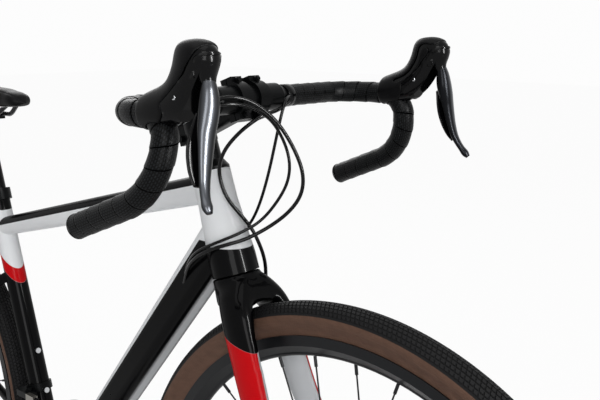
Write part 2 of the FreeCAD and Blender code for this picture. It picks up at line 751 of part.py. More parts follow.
def bar_half(start_y):
    """Left half of the bar's centre line from start_y on the tops to the end of the drop."""
    def at(x, y, z=0.0):
        return bar_centre + Vector(x, y, z)
    corner, half = size.bar_corner, size.bar_half_width
    tops_end, ramp_start = at(0, half - corner), at(corner, half)
    corner_middle = at(corner * (1 - math.sqrt(0.5)), half - corner * (1 - math.sqrt(0.5)))
    hood_point = at(ramp_end, half)
    upper_centre = hood_point + DOWN * size.bar_upper_hook
    upper_middle = upper_centre + (X - DOWN) * (size.bar_upper_hook * math.sqrt(0.5))
    front = upper_centre + X * size.bar_upper_hook
    lower_centre = front - X * size.bar_lower_hook

    def on_hook(turn):
        return lower_centre + (X * math.cos(turn) + DOWN * math.sin(turn)) * size.bar_lower_hook
    tail_start = on_hook(hook_turn)
    tail_end = tail_start + (DOWN * math.cos(hook_turn) - X * math.sin(hook_turn)) * size.bar_tail
    return [
        Part.LineSegment(at(0, start_y), tops_end),
        Part.Arc(tops_end, corner_middle, ramp_start),
        Part.LineSegment(ramp_start, hood_point),
        Part.Arc(hood_point, upper_middle, front),
        Part.Arc(front, on_hook(hook_turn / 2), tail_start),
        Part.LineSegment(tail_start, tail_end),
    ]


half_edges = [edge.toShape() for edge in bar_half(0)]
bar_section = circle_section("bar_section", "sizes.bar_radius", bar_centre, Y)
left_bar = swept("left_bar", Part.Wire(half_edges), bar_section)
bar_sleeve = turned("bar_sleeve", [
    (0, -size.tape_start + 2), (size.bar_radius + 0.6, -size.tape_start + 2),
    (size.bar_clamp_radius, -size.tape_start + 12), (size.bar_clamp_radius, size.tape_start - 12),
    (size.bar_radius + 0.6, size.tape_start - 2), (0, size.tape_start - 2)], Placement(bar_centre, SIDEWAYS))
handlebar = finished("handlebar", fused("handlebar", left_bar, mirrored("right_bar", left_bar), bar_sleeve))

# Lever brackets inside rubber hoods, at the end of each ramp

hood_anchor = bar_centre + Vector(ramp_end, size.bar_half_width, 0)
# forward, up, lean of the section in degrees, half height, half width
HOOD_SHAPE = [(-24, 1, 0, 15.2, 15.6), (2, 3.6, 5, 17.8, 18), (26, 9, 22, 20.5, 18.5), (44, 20, 40, 20.5, 17.5),
              (55, 36, 58, 20.5, 17), (63, 52, 72, 23, 17.5), (66.5, 62, 80, 21.5, 16), (66.5, 67.6, 85, 14, 11),
              (66, 70, 88, 4, 3)]


def hood_loft(name, skin):
    wires = []
    for forward_by, up, lean, half_height, half_width in HOOD_SHAPE:
        centre = hood_anchor + Vector(forward_by, 0, up)
        inset = min(skin, half_width - 0.6)
        place = Placement(centre, Rotation(Y, 90 - lean) * Rotation(Z, 90))
        wires.append(oval(half_width - inset, half_height - inset, place))
    return lofted(name, wires)


def side_prism(name, outline, low_y, high_y, anchor):
    """Prism across the bike: the outline is (forward, up) from the anchor, between two sideways distances."""
    face = Part.Face(wire_of(outline, Placement(anchor + Y * high_y, ACROSS)))
    return shaped(name, face.extrude(Y * (low_y - high_y)))


tape_section = circle_section("tape_section", "sizes.tape_radius", bar_centre + Y * size.tape_start, Y)
tape_path = Part.Wire([edge.toShape() for edge in bar_half(size.tape_start)])
tape_blank = swept("tape_blank", tape_path, tape_section)
bare_front = side_prism("bare_front", [(88, 61), (62, 39), (46, 24), (34, 14), (36, 3), (46, -7), (60, -40),
                                       (130, -40), (130, 61)], -30, 30, hood_anchor)
lever_slot = side_prism("lever_slot", [(61, 57), (58, 34), (48, 8), (46, -30), (130, -30), (130, 57)],
                        -10.4, 10.4, hood_anchor)
hood_outer = hood_loft("hood_outer", 0)
hood_inner = hood_loft("hood_inner", size.hood_skin)
left_hood = cut("left_hood", hood_outer, hood_inner, bare_front, tape_blank, lever_slot)
bracket_face = common("bracket_face", hood_loft("bracket_outer", 0.5), bare_front)
bracket_blank = fused("bracket_blank", hood_inner, bracket_face)
lever_pivot = hood_anchor + Vector(71, 0, 40)
lever_pin = rod("lever_pin", "sizes.lever_pin_radius", "28", lever_pivot - Y * 14, Y)
left_bracket = fused("left_bracket", cut("bracket_cut", bracket_blank, tape_blank, lever_slot), lever_pin)
finished("lever_hoods", grouped("lever_hoods", left_hood, mirrored("right_hood", left_hood)))
finished("lever_brackets", grouped("lever_brackets", left_bracket, mirrored("right_bracket", left_bracket)))

tail_edge = tape_path.Edges[-1]
tail_end = tail_edge.valueAt(tail_edge.LastParameter)
tail_direction = tail_edge.tangentAt(tail_edge.LastParameter)
end_plug = turned("end_plug", [
    (0, 0.1), (size.tape_radius, 0.1), (size.tape_radius, 1.4), (size.bar_radius - 1, 3), (0, 3.4)],
    Placement(tail_end, Rotation(Z, tail_direction)))
left_tape = cut("left_tape", tape_blank, handlebar)
finished("bar_tape", grouped("bar_tape", left_tape, mirrored("right_tape", left_tape), end_plug,
                             mirrored("right_plug", end_plug)))

# Brake blades and shift paddles: forward, outward, up, half depth, half width of the blade's sections
BLADE_SHAPE = [(69, -0.5, 48, 5.5, 6.8), (71, 0, 40, 7, 7.4), (75.5, 1.5, 26, 6, 7.4), (80.5, 5, 12, 5, 7),
               (83.5, 9, -5, 4.7, 6.6), (86, 13.5, -28, 4.5, 6.2), (90.5, 19, -49, 4.2, 6), (97, 24, -64, 3.6, 5.4),
               (105, 26.8, -71.5, 2.6, 3.8)]
blade_centres = [hood_anchor + Vector(x, y, z) for x, y, z, depth, width in BLADE_SHAPE]


def blade_loft(name):
    wires = []
    for count, (x, y, z, depth, width) in enumerate(BLADE_SHAPE):
        before = blade_centres[max(count - 1, 0)]
        after = blade_centres[min(count + 1, len(blade_centres) - 1)]
        direction = (after - before).normalize()
        across = (Y - direction * Y.dot(direction)).normalize()
        place = Placement(blade_centres[count], Rotation(direction.cross(across), across, direction, "ZYX"))
        wires.append(rounded(2 * depth, 2 * width, 0.8 * depth, place))
    return lofted(name, wires)


paddle_pivot = hood_anchor + Vector(73, 5.5, 2)
paddle_lean = Rotation(X, 16)
paddle_pin = rod("paddle_pin", "2", "14", paddle_pivot - X * 4.5, X)
pin_hole = rod("pin_hole", "sizes.lever_pin_radius + sizes.running_gap", "40", lever_pivot - Y * 20, Y)
left_blade = cut("left_blade", fused("blade_and_pin", blade_loft("blade_loft"), paddle_pin), pin_hole)
PADDLE_OUTLINE = [(-4, 5), (-5, -10, -3, -20), (-5, -29, -2, -39), (2.5, -49, 8.4, -57), (11, -56.5, 9.8, -52),
                  (5.8, -43, 4, -32), (3.4, -18, 3.2, -3), (3.1, 3.5), (2.2, 5.4, 0.3, 6)]
paddle_place = Placement(paddle_pivot, paddle_lean * ACROSS)
paddle_face = Part.Face(wire_of(PADDLE_OUTLINE))
paddle_solid = paddle_face.extrude(Z * size.paddle_thickness)
paddle_solid.translate(Z * (-size.paddle_thickness / 2))
paddle_blank = shaped("paddle_blank", paddle_solid)
paddle_blank.Placement = paddle_place
paddle_hole = rod("paddle_hole", "2 + sizes.running_gap", "40", paddle_pivot - X * 20, X)
left_paddle = cut("left_paddle", paddle_blank, paddle_hole)
for label, source in (("brake_lever", left_blade), ("shift_paddle", left_paddle)):
    finished(label + "_left", source)
    finished(label + "_right", mirrored(label + "_right", source))

# Wheels: tyre, rim, spokes, hub and rotor, turned about the axle


def tyre_outline():
    """Round casing with a wall, open between the beads inside the rim."""
    half, wall = size.tyre_width / 2, size.tyre_wall
    bead, top = size.bead_radius, size.bead_radius + size.tyre_height
    foot = bead - 5
    belly = bead + 0.5 * size.tyre_height
    lip = size.rim_width / 2 - size.rim_wall - 0.2
    shoulder = top - 0.2 * size.tyre_height
    return [(foot, lip), (bead + 7, lip), (belly - 3, half - 1.2, belly + 2, half),
            (shoulder - 1, half - 2.2, shoulder + 2, half - 6), (top, 0, shoulder + 2, -half + 6),
            (shoulder - 1, -half + 2.2, belly + 2, -half), (belly - 3, -half + 1.2, bead + 7, -lip),
            (foot, -lip), (foot, -lip + wall), (bead + 7, -lip + wall),
            (belly - 2, -half + wall + 1.2, belly + 2, -half + wall), (top - wall, 0, belly + 2, half - wall),
            (belly - 2, half - wall - 1.2, bead + 7, lip - wall), (foot, lip - wall)]


def rim_outline():
    """Deep rim: straight flanges, sloping sides and a rounded spoke bed, open towards the tyre."""
    half, wall = size.rim_width / 2, size.rim_wall
    bed, edge = size.rim_inner_radius, size.bead_radius + 1
    knee = size.bead_radius - 11
    return [(edge, half), (knee, half), (bed + 5, 0.42 * half), (bed, 0, bed + 5, -0.42 * half),
            (knee, -half), (edge, -half), (edge, -half + wall - 0.4), (knee + 3, -half + wall - 0.4),
            (bed + 8, -0.42 * half + 1), (bed + wall + 2, 0, bed + 8, 0.42 * half - 1),
            (knee + 3, half - wall + 0.4), (edge, half - wall + 0.4)]


def spoke(name, start, end):
    """Spoke with its nipple at the rim end."""
    direction = (end - start).normalize()
    thin = Part.makeCylinder(size.spoke_radius, (end - start).Length - 6, start, direction)
    nipple = Part.makeCylinder(size.nipple_radius, 12, end - direction * 12, direction)
    return thin.fuse(nipple).removeSplitter()


def spokes(label, axle, flanges):
    """Crossed spokes: every second one leads, the others trail, alternately on the two flanges."""
    count = int(size.spoke_count)
    cross = 2 * math.pi / count * 5
    solids = []
    for number in range(count):
        y_flange = flanges[number % 2]
        lead = 1 if number // 2 % 2 else -1
        rim_angle = 2 * math.pi * number / count
        start = turn_point(axle, size.flange_radius + 1.1, rim_angle + lead * cross)
        end = turn_point(axle, size.rim_inner_radius - 0.2, rim_angle)
        solids.append(spoke(label, start + Y * (y_flange + 2 * lead), end + Y * (0.02 * y_flange)))
    return shaped(label, Part.makeCompound(solids))


def hub(label, half_width, flanges, right_end, rotor_y, axle):
    """Hub shell with two flanges and a rotor seat on the left; heights run from right to left."""
    bore = size.axle_radius + size.running_gap
    cap, shell, flange = size.axle_radius + 4, size.hub_shell_radius, size.flange_radius
    half_flange = size.flange_thickness / 2
    left, right = flanges
    seat_radius = 16
    outline = [(bore, right_end), (cap, right_end), (cap + 3, right - half_flange - 5),
               (flange, right - half_flange), (flange, right + half_flange),
               (shell, right + half_flange + 8), (shell, left - half_flange - 8),
               (flange, left - half_flange), (flange, left + half_flange),
               (seat_radius, left + half_flange + 3), (seat_radius, rotor_y + size.rotor_thickness / 2 + 4),
               (cap, rotor_y + size.rotor_thickness / 2 + 4), (cap, half_width), (bore, half_width)]
    return turned(label, outline, Placement(axle, SIDEWAYS))


def rotor(label, y, axle):
    """Brake disc: a braking ring with vent holes on six arms of a bored carrier."""
    place = Placement(axle + Y * y, SIDEWAYS)
    outer, inner, carrier = size.rotor_radius, size.rotor_radius - 15, 23
    arms = []
    for count in range(6):
        lean = Rotation(Z, 60 * count)
        bar = Part.makeBox(inner - carrier + 10, 7, size.rotor_thickness,
                           Vector(carrier - 5, -3.5, -size.rotor_thickness / 2))
        bar.rotate(Vector(carrier, 0, 0), Z, 22)
        bar.Placement = Placement(Vector(), lean) * bar.Placement
        arms.append(bar)

    def disc(radius):
        return Part.makeCylinder(radius, size.rotor_thickness, Vector(0, 0, -size.rotor_thickness / 2))
    vents = []
    for count in range(18):
        spot = Rotation(Z, 20 * count).multVec(Vector(inner + (5 if count % 2 else 10), 0, -5))
        vents.append(Part.makeCylinder(2.4, 10, spot))
    band = disc(outer).cut(disc(inner))
    core = disc(carrier).cut(disc(16 + size.fit_gap))
    arms = [item.cut(disc(16 + size.fit_gap)).common(disc(outer - 3)) for item in arms]
    solid = band.fuse([core] + arms).removeSplitter().cut(Part.makeCompound(vents))
    item = shaped(label, solid.Solids[0])
    item.Placement = place
    return item


wheel_rear = Placement(rear_axle, SIDEWAYS)
front_rotor_y = half_front - size.rotor_setback
rear_rotor_y = half_rear - size.rotor_setback - 5
sprocket_y = [-size.chain_line - (count - CHAIN_SPROCKET) * size.sprocket_spacing
              for count in range(len(SPROCKET_TEETH))]
freehub_start = sprocket_y[0] + size.sprocket_spacing / 2
front_flanges = (front_rotor_y - 17, -half_front + 16)
rear_flanges = (rear_rotor_y - 20, freehub_start + 9)
end_float = 0.15
hubs = {
    "front": (half_front - end_float, front_flanges, -half_front + end_float, front_rotor_y, front_axle),
    "rear": (half_rear - end_float, rear_flanges, freehub_start + 0.4, rear_rotor_y, rear_axle),
}
for end, (half_width, flanges, right_end, rotor_y, axle) in hubs.items():
    place = Placement(axle, SIDEWAYS)
    finished(end + "_tyre", turned(end + "_tyre", tyre_outline(), place))
    finished(end + "_rim", turned(end + "_rim", rim_outline(), place))
    finished(end + "_spokes", spokes(end + "_spokes", axle, flanges))
    finished(end + "_hub", hub(end + "_hub", half_width, flanges, right_end, rotor_y, axle))
    finished(end + "_rotor", rotor(end + "_rotor", rotor_y, axle))


def thru_axle(label, half_width, end_width, axle):
    """Through axle with a low head on the left."""
    outline = [(0, -half_width - end_width), (size.axle_radius, -half_width - end_width),
               (size.axle_radius, half_width + end_width + 0.2), (9, half_width + end_width + 0.2),
               (8, half_width + end_width + 4), (3.5, half_width + end_width + 4),
               (3.5, half_width + end_width - 2), (0, half_width + end_width - 2)]
    return finished(label, turned(label, outline, Placement(axle, SIDEWAYS)))


thru_axle("front_thru_axle", half_front, 12, front_axle)
thru_axle("rear_thru_axle", half_rear, size.dropout_thickness, rear_axle)

# Toothed wheels: every gap seats one roller of the chain


def pitch_radius(teeth):
    return size.chain_pitch / (2 * math.sin(math.pi / teeth))


def toothed_outline(teeth, phase):
    """Roller seats on the pitch circle joined by narrow teeth, as (x, y) about the wheel's own axis."""
    teeth = int(teeth)
    pitch, seat_radius = pitch_radius(teeth), size.chain_roller_radius + 0.12
    tip_radius = pitch + 0.21 * size.chain_pitch
    tip_half = math.radians(360 / teeth) * 0.055
    outline = []
    for count in range(teeth):
        middle = phase + 2 * math.pi * count / teeth
        centre = Vector(pitch * math.cos(middle), pitch * math.sin(middle), 0)

        def seat_at(turn):
            heading = middle + math.pi + math.radians(turn)
            return (centre.x + seat_radius * math.cos(heading), centre.y + seat_radius * math.sin(heading))
        gap = middle + math.pi / teeth
        tips = [(tip_radius * math.cos(gap + turn), tip_radius * math.sin(gap + turn))
                for turn in (-tip_half, tip_half)]
        outline += [seat_at(68), (*seat_at(0), *seat_at(-68)), *tips]
    return outline


def toothed(name, teeth, phase, thickness, place, holes):
    """Toothed plate about the local z axis, with round holes (x, y, radius)."""
    rounds = [Part.Wire([Part.Circle(Vector(x, y, 0), Z, radius).toShape()]) for x, y, radius in holes]
    face = Part.makeFace([wire_of(toothed_outline(teeth, phase))] + rounds, "Part::FaceMakerBullseye")
    profile = shaped(name + "_profile", face)
    profile.Placement = place
    item = doc.addObject("Part::Extrusion", name)
    item.Base = profile
    item.DirMode = "Normal"
    item.Symmetric = True
    item.setExpression("LengthFwd", thickness)
    item.Solid = True
    return item


# The chain's loop: ring, tension pulley, guide pulley and sprocket, in the order that the chain runs

ring_pitch = pitch_radius(size.large_ring_teeth)
sprocket_pitch = pitch_radius(SPROCKET_TEETH[CHAIN_SPROCKET])
pulley_pitch = pitch_radius(size.pulley_teeth)
link_slope = math.radians(-55)
link_lean = math.radians(18)
FORTH = Vector(math.cos(link_slope), 0, math.sin(link_slope))
PIN_LINE = FORTH.cross(Y)
link_root = hanger_bolt + Vector(-4, 0, -28)
link_pitch_y = 14
outer_root_y = -half_rear - 16
link_step = (FORTH * math.cos(link_lean) + Y * math.sin(link_lean)) * size.derailleur_link
guide_centre = link_root + FORTH * (size.derailleur_link * math.cos(link_lean) + 22)


def tangent(first, first_radius, first_turn, second, second_radius, second_turn):
    """Line that touches two circles, left and reached in their turning senses; 1 is clockwise from the right."""
    step = second - first
    reach = math.hypot(step.x, step.z)
    heading = math.atan2(step.z, step.x)
    side = math.asin((first_turn * first_radius - second_turn * second_radius) / reach)
    normal = heading + math.pi / 2 - side
    leave = turn_point(first, first_turn * first_radius, normal)
    arrive = turn_point(second, second_turn * second_radius, normal)
    return leave, arrive


def chain_loop(cage_angle):
    """Pieces of the loop: (kind, length, point function) for lines and arcs, starting on top of the ring."""
    tension_centre = turn_point(guide_centre, size.cage_length, cage_angle)
    wheels = [(bracket, ring_pitch, 1), (tension_centre, pulley_pitch, 1), (guide_centre, pulley_pitch, -1),
              (rear_axle, sprocket_pitch, 1)]
    lines = [tangent(*wheels[count], *wheels[(count + 1) % 4]) for count in range(4)]
    pieces = []
    for count, (centre, radius, sense) in enumerate(wheels):
        start, stop = lines[count - 1][1], lines[count][0]
        begin = math.atan2(start.z - centre.z, start.x - centre.x)
        finish = math.atan2(stop.z - centre.z, stop.x - centre.x)
        sweep = (sense * (begin - finish)) % (2 * math.pi)
        pieces.append((radius * sweep, centre, radius, begin, -sense))
        leave, arrive = lines[count]
        pieces.append(((arrive - leave).Length, leave, None, (arrive - leave).normalize(), 0))
    return pieces, tension_centre


def loop_point(pieces, distance):
    for length, origin, radius, start, sense in pieces:
        if distance <= length:
            break
        distance -= length
    if radius is None:
        return origin + start * distance
    return turn_point(origin, radius, start + sense * distance / radius)


def roller_distances(pieces, count):
    """Distances along the loop of rollers that stand one straight pitch apart."""
    distances = [0.0]
    total = sum(piece[0] for piece in pieces)
    for number in range(count):
        here = loop_point(pieces, distances[-1] % total)
        low, high = distances[-1] + 0.99 * size.chain_pitch, distances[-1] + 1.06 * size.chain_pitch
        for halving in range(40):
            middle = (low + high) / 2
            if (loop_point(pieces, middle % total) - here).Length < size.chain_pitch:
                low = middle
            else:
                high = middle
        distances.append(low)
    return distances, total


def closing_error(cage_angle, count):
    distances, total = roller_distances(chain_loop(cage_angle)[0], count)
    return distances[-1] - total


rest_angle = math.radians(-70)
rest_length = sum(piece[0] for piece in chain_loop(rest_angle)[0])
link_count = 2 * round(rest_length / (2 * size.chain_pitch))
slack, tight = rest_angle - 0.6, rest_angle + 0.6
rising = closing_error(slack, link_count) < closing_error(tight, link_count)
for halving in range(26):
    cage_angle = (slack + tight) / 2
    if (closing_error(cage_angle, link_count) < 0) == rising:
        slack = cage_angle
    else:
        tight = cage_angle
loop, tension_centre = chain_loop(cage_angle)
roller_places, loop_length = roller_distances(loop, link_count)
rollers = [loop_point(loop, place % loop_length) for place in roller_places[:link_count]]
print(f"chain: {link_count} links, cage at {math.degrees(cage_angle):.1f} degrees")


def seated_phase(centre, pitch):
    """Turning angle of the roller that lies deepest on a toothed wheel."""
    best = min(rollers, key=lambda point: abs((point - centre).Length - pitch))
    return math.atan2(best.z - centre.z, best.x - centre.x)


def chain_plate(start, end, half_width, low, high):
    """Plate of a link with round ends, between two sideways distances from the chain's middle."""
    direction = (end - start).normalize()
    place = Placement(start, Rotation(direction, Vector(), Y * -1, "ZXY"))
    reach = (end - start).Length
    wire = wire_of([(0, half_width), (-half_width, 0, 0, -half_width), (reach, -half_width),
                    (reach + half_width, 0, reach, half_width)])
    solid = Part.Face(wire).extrude(Z * (high - low))
    solid.translate(Z * low)
    solid.Placement = place * solid.Placement
    return solid


def chain_link(count):
    """Inner links hold the rollers, outer links hold the pins."""
    start, end = rollers[count], rollers[(count + 1) % link_count]
    if count % 2:
        plates = [chain_plate(start, end, 4, 2.16, 3.05), chain_plate(start, end, 4, -3.05, -2.16)]
        pins = [Part.makeCylinder(1.75, 6.6, point - Y * 3.3, Y) for point in (start, end)]
        return plates[0].fuse([plates[1]] + pins).removeSplitter()
    plates = [chain_plate(start, end, 4, 1.2, 2.1), chain_plate(start, end, 4, -2.1, -1.2)]
    barrels = [Part.makeCylinder(size.chain_roller_radius, 2.4, point - Y * 1.2, Y) for point in (start, end)]
    bores = [Part.makeCylinder(1.8, 8, point - Y * 4, Y) for point in (start, end)]
    return plates[0].fuse([plates[1]] + barrels).removeSplitter().cut(Part.makeCompound(bores))


chain_shift = Y * -size.chain_line
chain_links = [chain_link(count) for count in range(link_count)]
chain = finished("chain", shaped("chain", Part.makeCompound(chain_links)))
chain.Placement = Placement(chain_shift, Rotation())

# Cassette: nine sprockets and their spacers on the freehub body

half_sprocket = size.sprocket_thickness / 2
sprocket_bore = size.freehub_radius + size.fit_gap
cassette_pieces = []
for count, (teeth, y) in enumerate(zip(SPROCKET_TEETH, sprocket_y)):
    phase = seated_phase(rear_axle, sprocket_pitch) if count == CHAIN_SPROCKET else 0.1 * count
    windows = []
    if pitch_radius(teeth) > 40:
        reach = (pitch_radius(teeth) - 6 + 24) / 2
        hole = (pitch_radius(teeth) - 6 - 24) / 2 - 1
        windows = [(reach * math.cos(turn), reach * math.sin(turn), min(hole, 9))
                   for turn in (2 * math.pi * part / 6 for part in range(6))]
    place = Placement(rear_axle + Y * y, ACROSS)
    cassette_pieces.append(toothed(f"sprocket_{teeth}", teeth, phase, "sizes.sprocket_thickness", place,
                                   [(0, 0, sprocket_bore)] + windows))
    if count:
        cassette_pieces.append(ring("sprocket_spacer", sprocket_bore, 21, y + half_sprocket,
                                    sprocket_y[count - 1] - half_sprocket, wheel_rear))
freehub_bore = size.axle_radius + size.running_gap
lock_start = sprocket_y[-1] - half_sprocket
cassette_pieces.append(turned("freehub", [
    (freehub_bore, -half_rear + end_float), (size.axle_radius + 4, -half_rear + end_float),
    (size.axle_radius + 4, lock_start - 3), (15.5, lock_start - 3), (15.5, lock_start),
    (size.freehub_radius, lock_start), (size.freehub_radius, freehub_start - 0.4),
    (freehub_bore, freehub_start - 0.4)], wheel_rear))
finished("cassette", grouped("cassette", *cassette_pieces))

# Crankset: right arm with spider and spindle, two chainrings, left arm, pedals on their axles

crank_middle = size.crank_inner_face + size.crank_thickness / 2
bolt_circle = 55
spider_spots = [(bolt_circle * math.cos(turn), bolt_circle * math.sin(turn))
                for turn in (math.radians(45 + 90 * part) for part in range(4))]
crank_outline = [(0, 19), (-19, 0, 0, -19), (0.55 * size.crank_length, -12), (size.crank_length, -13),
                 (size.crank_length + 13, 0, size.crank_length, 13), (0.55 * size.crank_length, 12)]
pedal_hole = [(size.crank_length, 0, size.pedal_axle_radius + 1.6)]
right_place = Placement(bracket - Y * crank_middle, ACROSS)
left_place = Placement(bracket + Y * crank_middle, ACROSS * Rotation(Z, 180))
right_arm = padded("right_arm", crank_outline, pedal_hole, "sizes.crank_thickness", right_place)
spindle = rod("spindle", "sizes.spindle_radius", f"{2 * size.crank_inner_face + size.crank_thickness - 1}",
              bracket - Y * size.crank_inner_face, Y)
ring_y = -size.chain_line
spider_back = ring_y - size.ring_thickness / 2
spider_hub = rod("spider_hub", "22", f"{size.crank_inner_face + ring_y + 2}",
                 bracket - Y * size.crank_inner_face, Y)
spider_outline = [(0, 10), (0, -10), (bolt_circle, -7), (bolt_circle + 7, 0, bolt_circle, 7)]
spider_middle = bracket + Y * (spider_back - 3)
spider_turns = [ACROSS * Rotation(Z, 45 + 90 * part) for part in range(4)]
spider_arms = [padded("spider_arm", spider_outline, [], "6", Placement(spider_middle, turn))
               for turn in spider_turns]
ring_bolts = []
small_y = ring_y + size.ring_spacing
for x, z in spider_spots:
    spot = bracket + Vector(x, 0, z)
    sleeve = rod("ring_sleeve", "6.5", "sizes.ring_spacing - sizes.ring_thickness",
                 spot + Y * (ring_y + size.ring_thickness / 2), Y)
    shank = rod("ring_bolt", "4", "sizes.ring_spacing + sizes.ring_thickness + 10",
                spot + Y * (spider_back - 8), Y)
    ring_bolts.append(fused("ring_fastener", sleeve, shank))
right_crank_blank = fused("right_crank_blank", right_arm, spindle, spider_hub, *spider_arms)
right_crank = cut("right_crank_body", right_crank_blank, *ring_bolts)


def chainring(name, teeth, y, phase, inner):
    """Chainring with four tabs to the spider inside an open middle."""
    place = Placement(bracket + Y * y, ACROSS)
    blank = toothed(name + "_blank", teeth, phase, "sizes.ring_thickness", place, [(0, 0, inner)])
    back = y - size.ring_thickness / 2
    tabs = [rod(name + "_tab", "9", "sizes.ring_thickness", bracket + Vector(x, back, z), Y) for x, z in spider_spots]
    return cut(name, fused(name + "_tabbed", blank, *tabs), *ring_bolts, spider_hub)


large_ring = chainring("large_ring", size.large_ring_teeth, ring_y, seated_phase(bracket, ring_pitch), 61)
small_ring = chainring("small_ring", size.small_ring_teeth, small_y, 0.0, 53)
finished("chainrings", grouped("chainrings", large_ring, small_ring, *ring_bolts))


def pedal_axle(name, side):
    """Threaded end in the crank arm, collar outside it and plain shaft to the pedal's end."""
    outer = crank_middle + size.crank_thickness / 2
    thread, shaft = size.pedal_axle_radius + 1.55, size.pedal_axle_radius
    outline = [(0, outer - size.crank_thickness), (thread, outer - size.crank_thickness), (thread, outer),
               (thread + 2, outer), (thread + 2, outer + 4), (shaft, outer + 4),
               (shaft, outer + 8 + size.pedal_length), (0, outer + 8 + size.pedal_length)]
    centre = bracket - X * side * size.crank_length
    return turned(name, outline, Placement(Vector(centre.x, 0, centre.z), SIDEWAYS if side > 0 else ACROSS))


finished("crank_right", grouped("crank_right", right_crank, pedal_axle("right_pedal_axle", -1)))
left_arm = padded("left_arm", crank_outline, pedal_hole + [(0, 0, size.spindle_radius + size.fit_gap)],
                  "sizes.crank_thickness", left_place)
finished("crank_left", grouped("crank_left", left_arm, pedal_axle("left_pedal_axle", 1)))


def pedal(label, side):
    """Platform pedal: a rounded frame with two windows either side of the axle barrel."""
    outer = crank_middle + size.crank_thickness / 2
    centre = bracket - X * side * size.crank_length + Y * side * (outer + 6 + size.pedal_length / 2)
    barrel = rod(label + "_barrel", "sizes.pedal_thickness / 2 + 1.5", "sizes.pedal_length",
                 centre - Y * size.pedal_length / 2, Y)
    half_l, half_w = size.pedal_width / 2, size.pedal_length / 2
    frame = padded(label + "_frame", [
        (half_l, -half_w + 20), (half_l, half_w - 20), (half_l - 6, half_w - 4, half_l - 22, half_w),
        (-half_l + 22, half_w), (-half_l + 6, half_w - 4, -half_l, half_w - 20), (-half_l, -half_w + 20),
        (-half_l + 6, -half_w + 4, -half_l + 22, -half_w), (half_l - 22, -half_w),
        (half_l - 6, -half_w + 4, half_l, -half_w + 20)], [], "sizes.pedal_thickness",
        Placement(centre, Rotation()))
    windows = []
    for part in (-1, 1):
        for across in (-1, 1):
            corner = Vector(part * half_l / 2, across * half_w / 2, 0)
            reach = Vector(half_l / 2 - 9, half_w / 2 - 5, 12)
            windows.append(box(label + "_window", centre + corner - reach, centre + corner + reach))
    hole = rod(label + "_hole", "sizes.pedal_axle_radius + sizes.running_gap", "2 * sizes.pedal_length",
               centre - Y * size.pedal_length, Y)
    solid = cut(label, fused(label + "_blank", cut(label + "_open", frame, *windows), barrel), hole)
    return finished(label, solid)


pedal("pedal_left", 1)
pedal("pedal_right", -1)

# Rear derailleur: hanger knuckle, two links, cage knuckle, cage and two jockey wheels

link_turn = Rotation(FORTH, Y, PIN_LINE, "ZXY")
half_link = size.link_height / 2
ear_gap = half_link + 0.4
ear_thickness = 2.4


def link_frame(origin):
    return Placement(origin, link_turn)


def knuckle(name, origin, heading):
    """Two ears joined by a web behind the links, with the two link pins; origin is the outer pin."""
    place = link_frame(origin)
    reach = sorted((-5 * heading, 15 * heading))
    ears = []
    for level in (ear_gap, -ear_gap - ear_thickness):
        ears.append(box(name + "_ear", Vector(reach[0], -5, level),
                        Vector(reach[1], link_pitch_y + 5, level + ear_thickness), place))
    web = sorted((9 * heading, 15 * heading))
    ears.append(box(name + "_web", Vector(web[0], -5, -ear_gap - ear_thickness),
                    Vector(web[1], link_pitch_y + 5, ear_gap + ear_thickness), place))
    pins = [rod(name + "_pin", "sizes.link_pin_radius", f"{2 * (ear_gap + ear_thickness)}",
                along(place, 0, y, -ear_gap - ear_thickness), PIN_LINE) for y in (0, link_pitch_y)]
    return ears + pins


root_origin = link_root + Y * outer_root_y
foot_origin = root_origin + link_step
hanger_face = half_rear + size.dropout_thickness
knuckle_barrel = rod("knuckle_barrel", "12", "15", hanger_bolt - Y * (hanger_face + 15.2), Y)
knuckle_neck = arm("knuckle_neck", hanger_bolt, link_root - FORTH * 11, 7,
                   -hanger_face - 4.2, "8")
hanger_screw = rod("hanger_screw", "4.95", "sizes.dropout_thickness + 4",
                   hanger_bolt - Y * (hanger_face + 4), Y)
finished("derailleur_knuckle", fused("derailleur_knuckle", knuckle_barrel, knuckle_neck, hanger_screw,
                                     *knuckle("root", root_origin, -1)))


def derailleur_link(label, y):
    """Link with round ends about its two pins."""
    lean = Rotation(Z, math.degrees(link_lean))
    place = Placement(root_origin + Y * y, link_turn * lean)
    reach, half = size.derailleur_link, size.link_half_width
    bore = size.link_pin_radius + size.running_gap
    outline = [(0, half), (-half, 0, 0, -half), (reach, -half), (reach + half, 0, reach, half)]
    return finished(label, padded(label, outline, [(0, 0, bore), (reach, 0, bore)], "sizes.link_height", place))


derailleur_link("derailleur_outer_link", 0)
derailleur_link("derailleur_inner_link", link_pitch_y)
cage_outer_y = -size.chain_line - size.cage_gap / 2 - size.cage_plate
barrel_start = cage_outer_y - 0.4
cage_barrel = rod("cage_barrel", "12", "18", guide_centre + Y * (barrel_start - 18), Y)
cage_pivot_hole = rod("cage_pivot_hole", "6 + sizes.running_gap", "60",
                      guide_centre + Y * (barrel_start - 40), Y)
cage_knuckle_blank = fused("cage_knuckle_blank", cage_barrel, *knuckle("foot", foot_origin, 1))
finished("cage_knuckle", cut("cage_knuckle", cage_knuckle_blank, cage_pivot_hole))


def pulley_bolt(name, centre):
    return rod(name, "2.5", "sizes.cage_gap + 2 * sizes.cage_plate", centre + Y * cage_outer_y, Y)


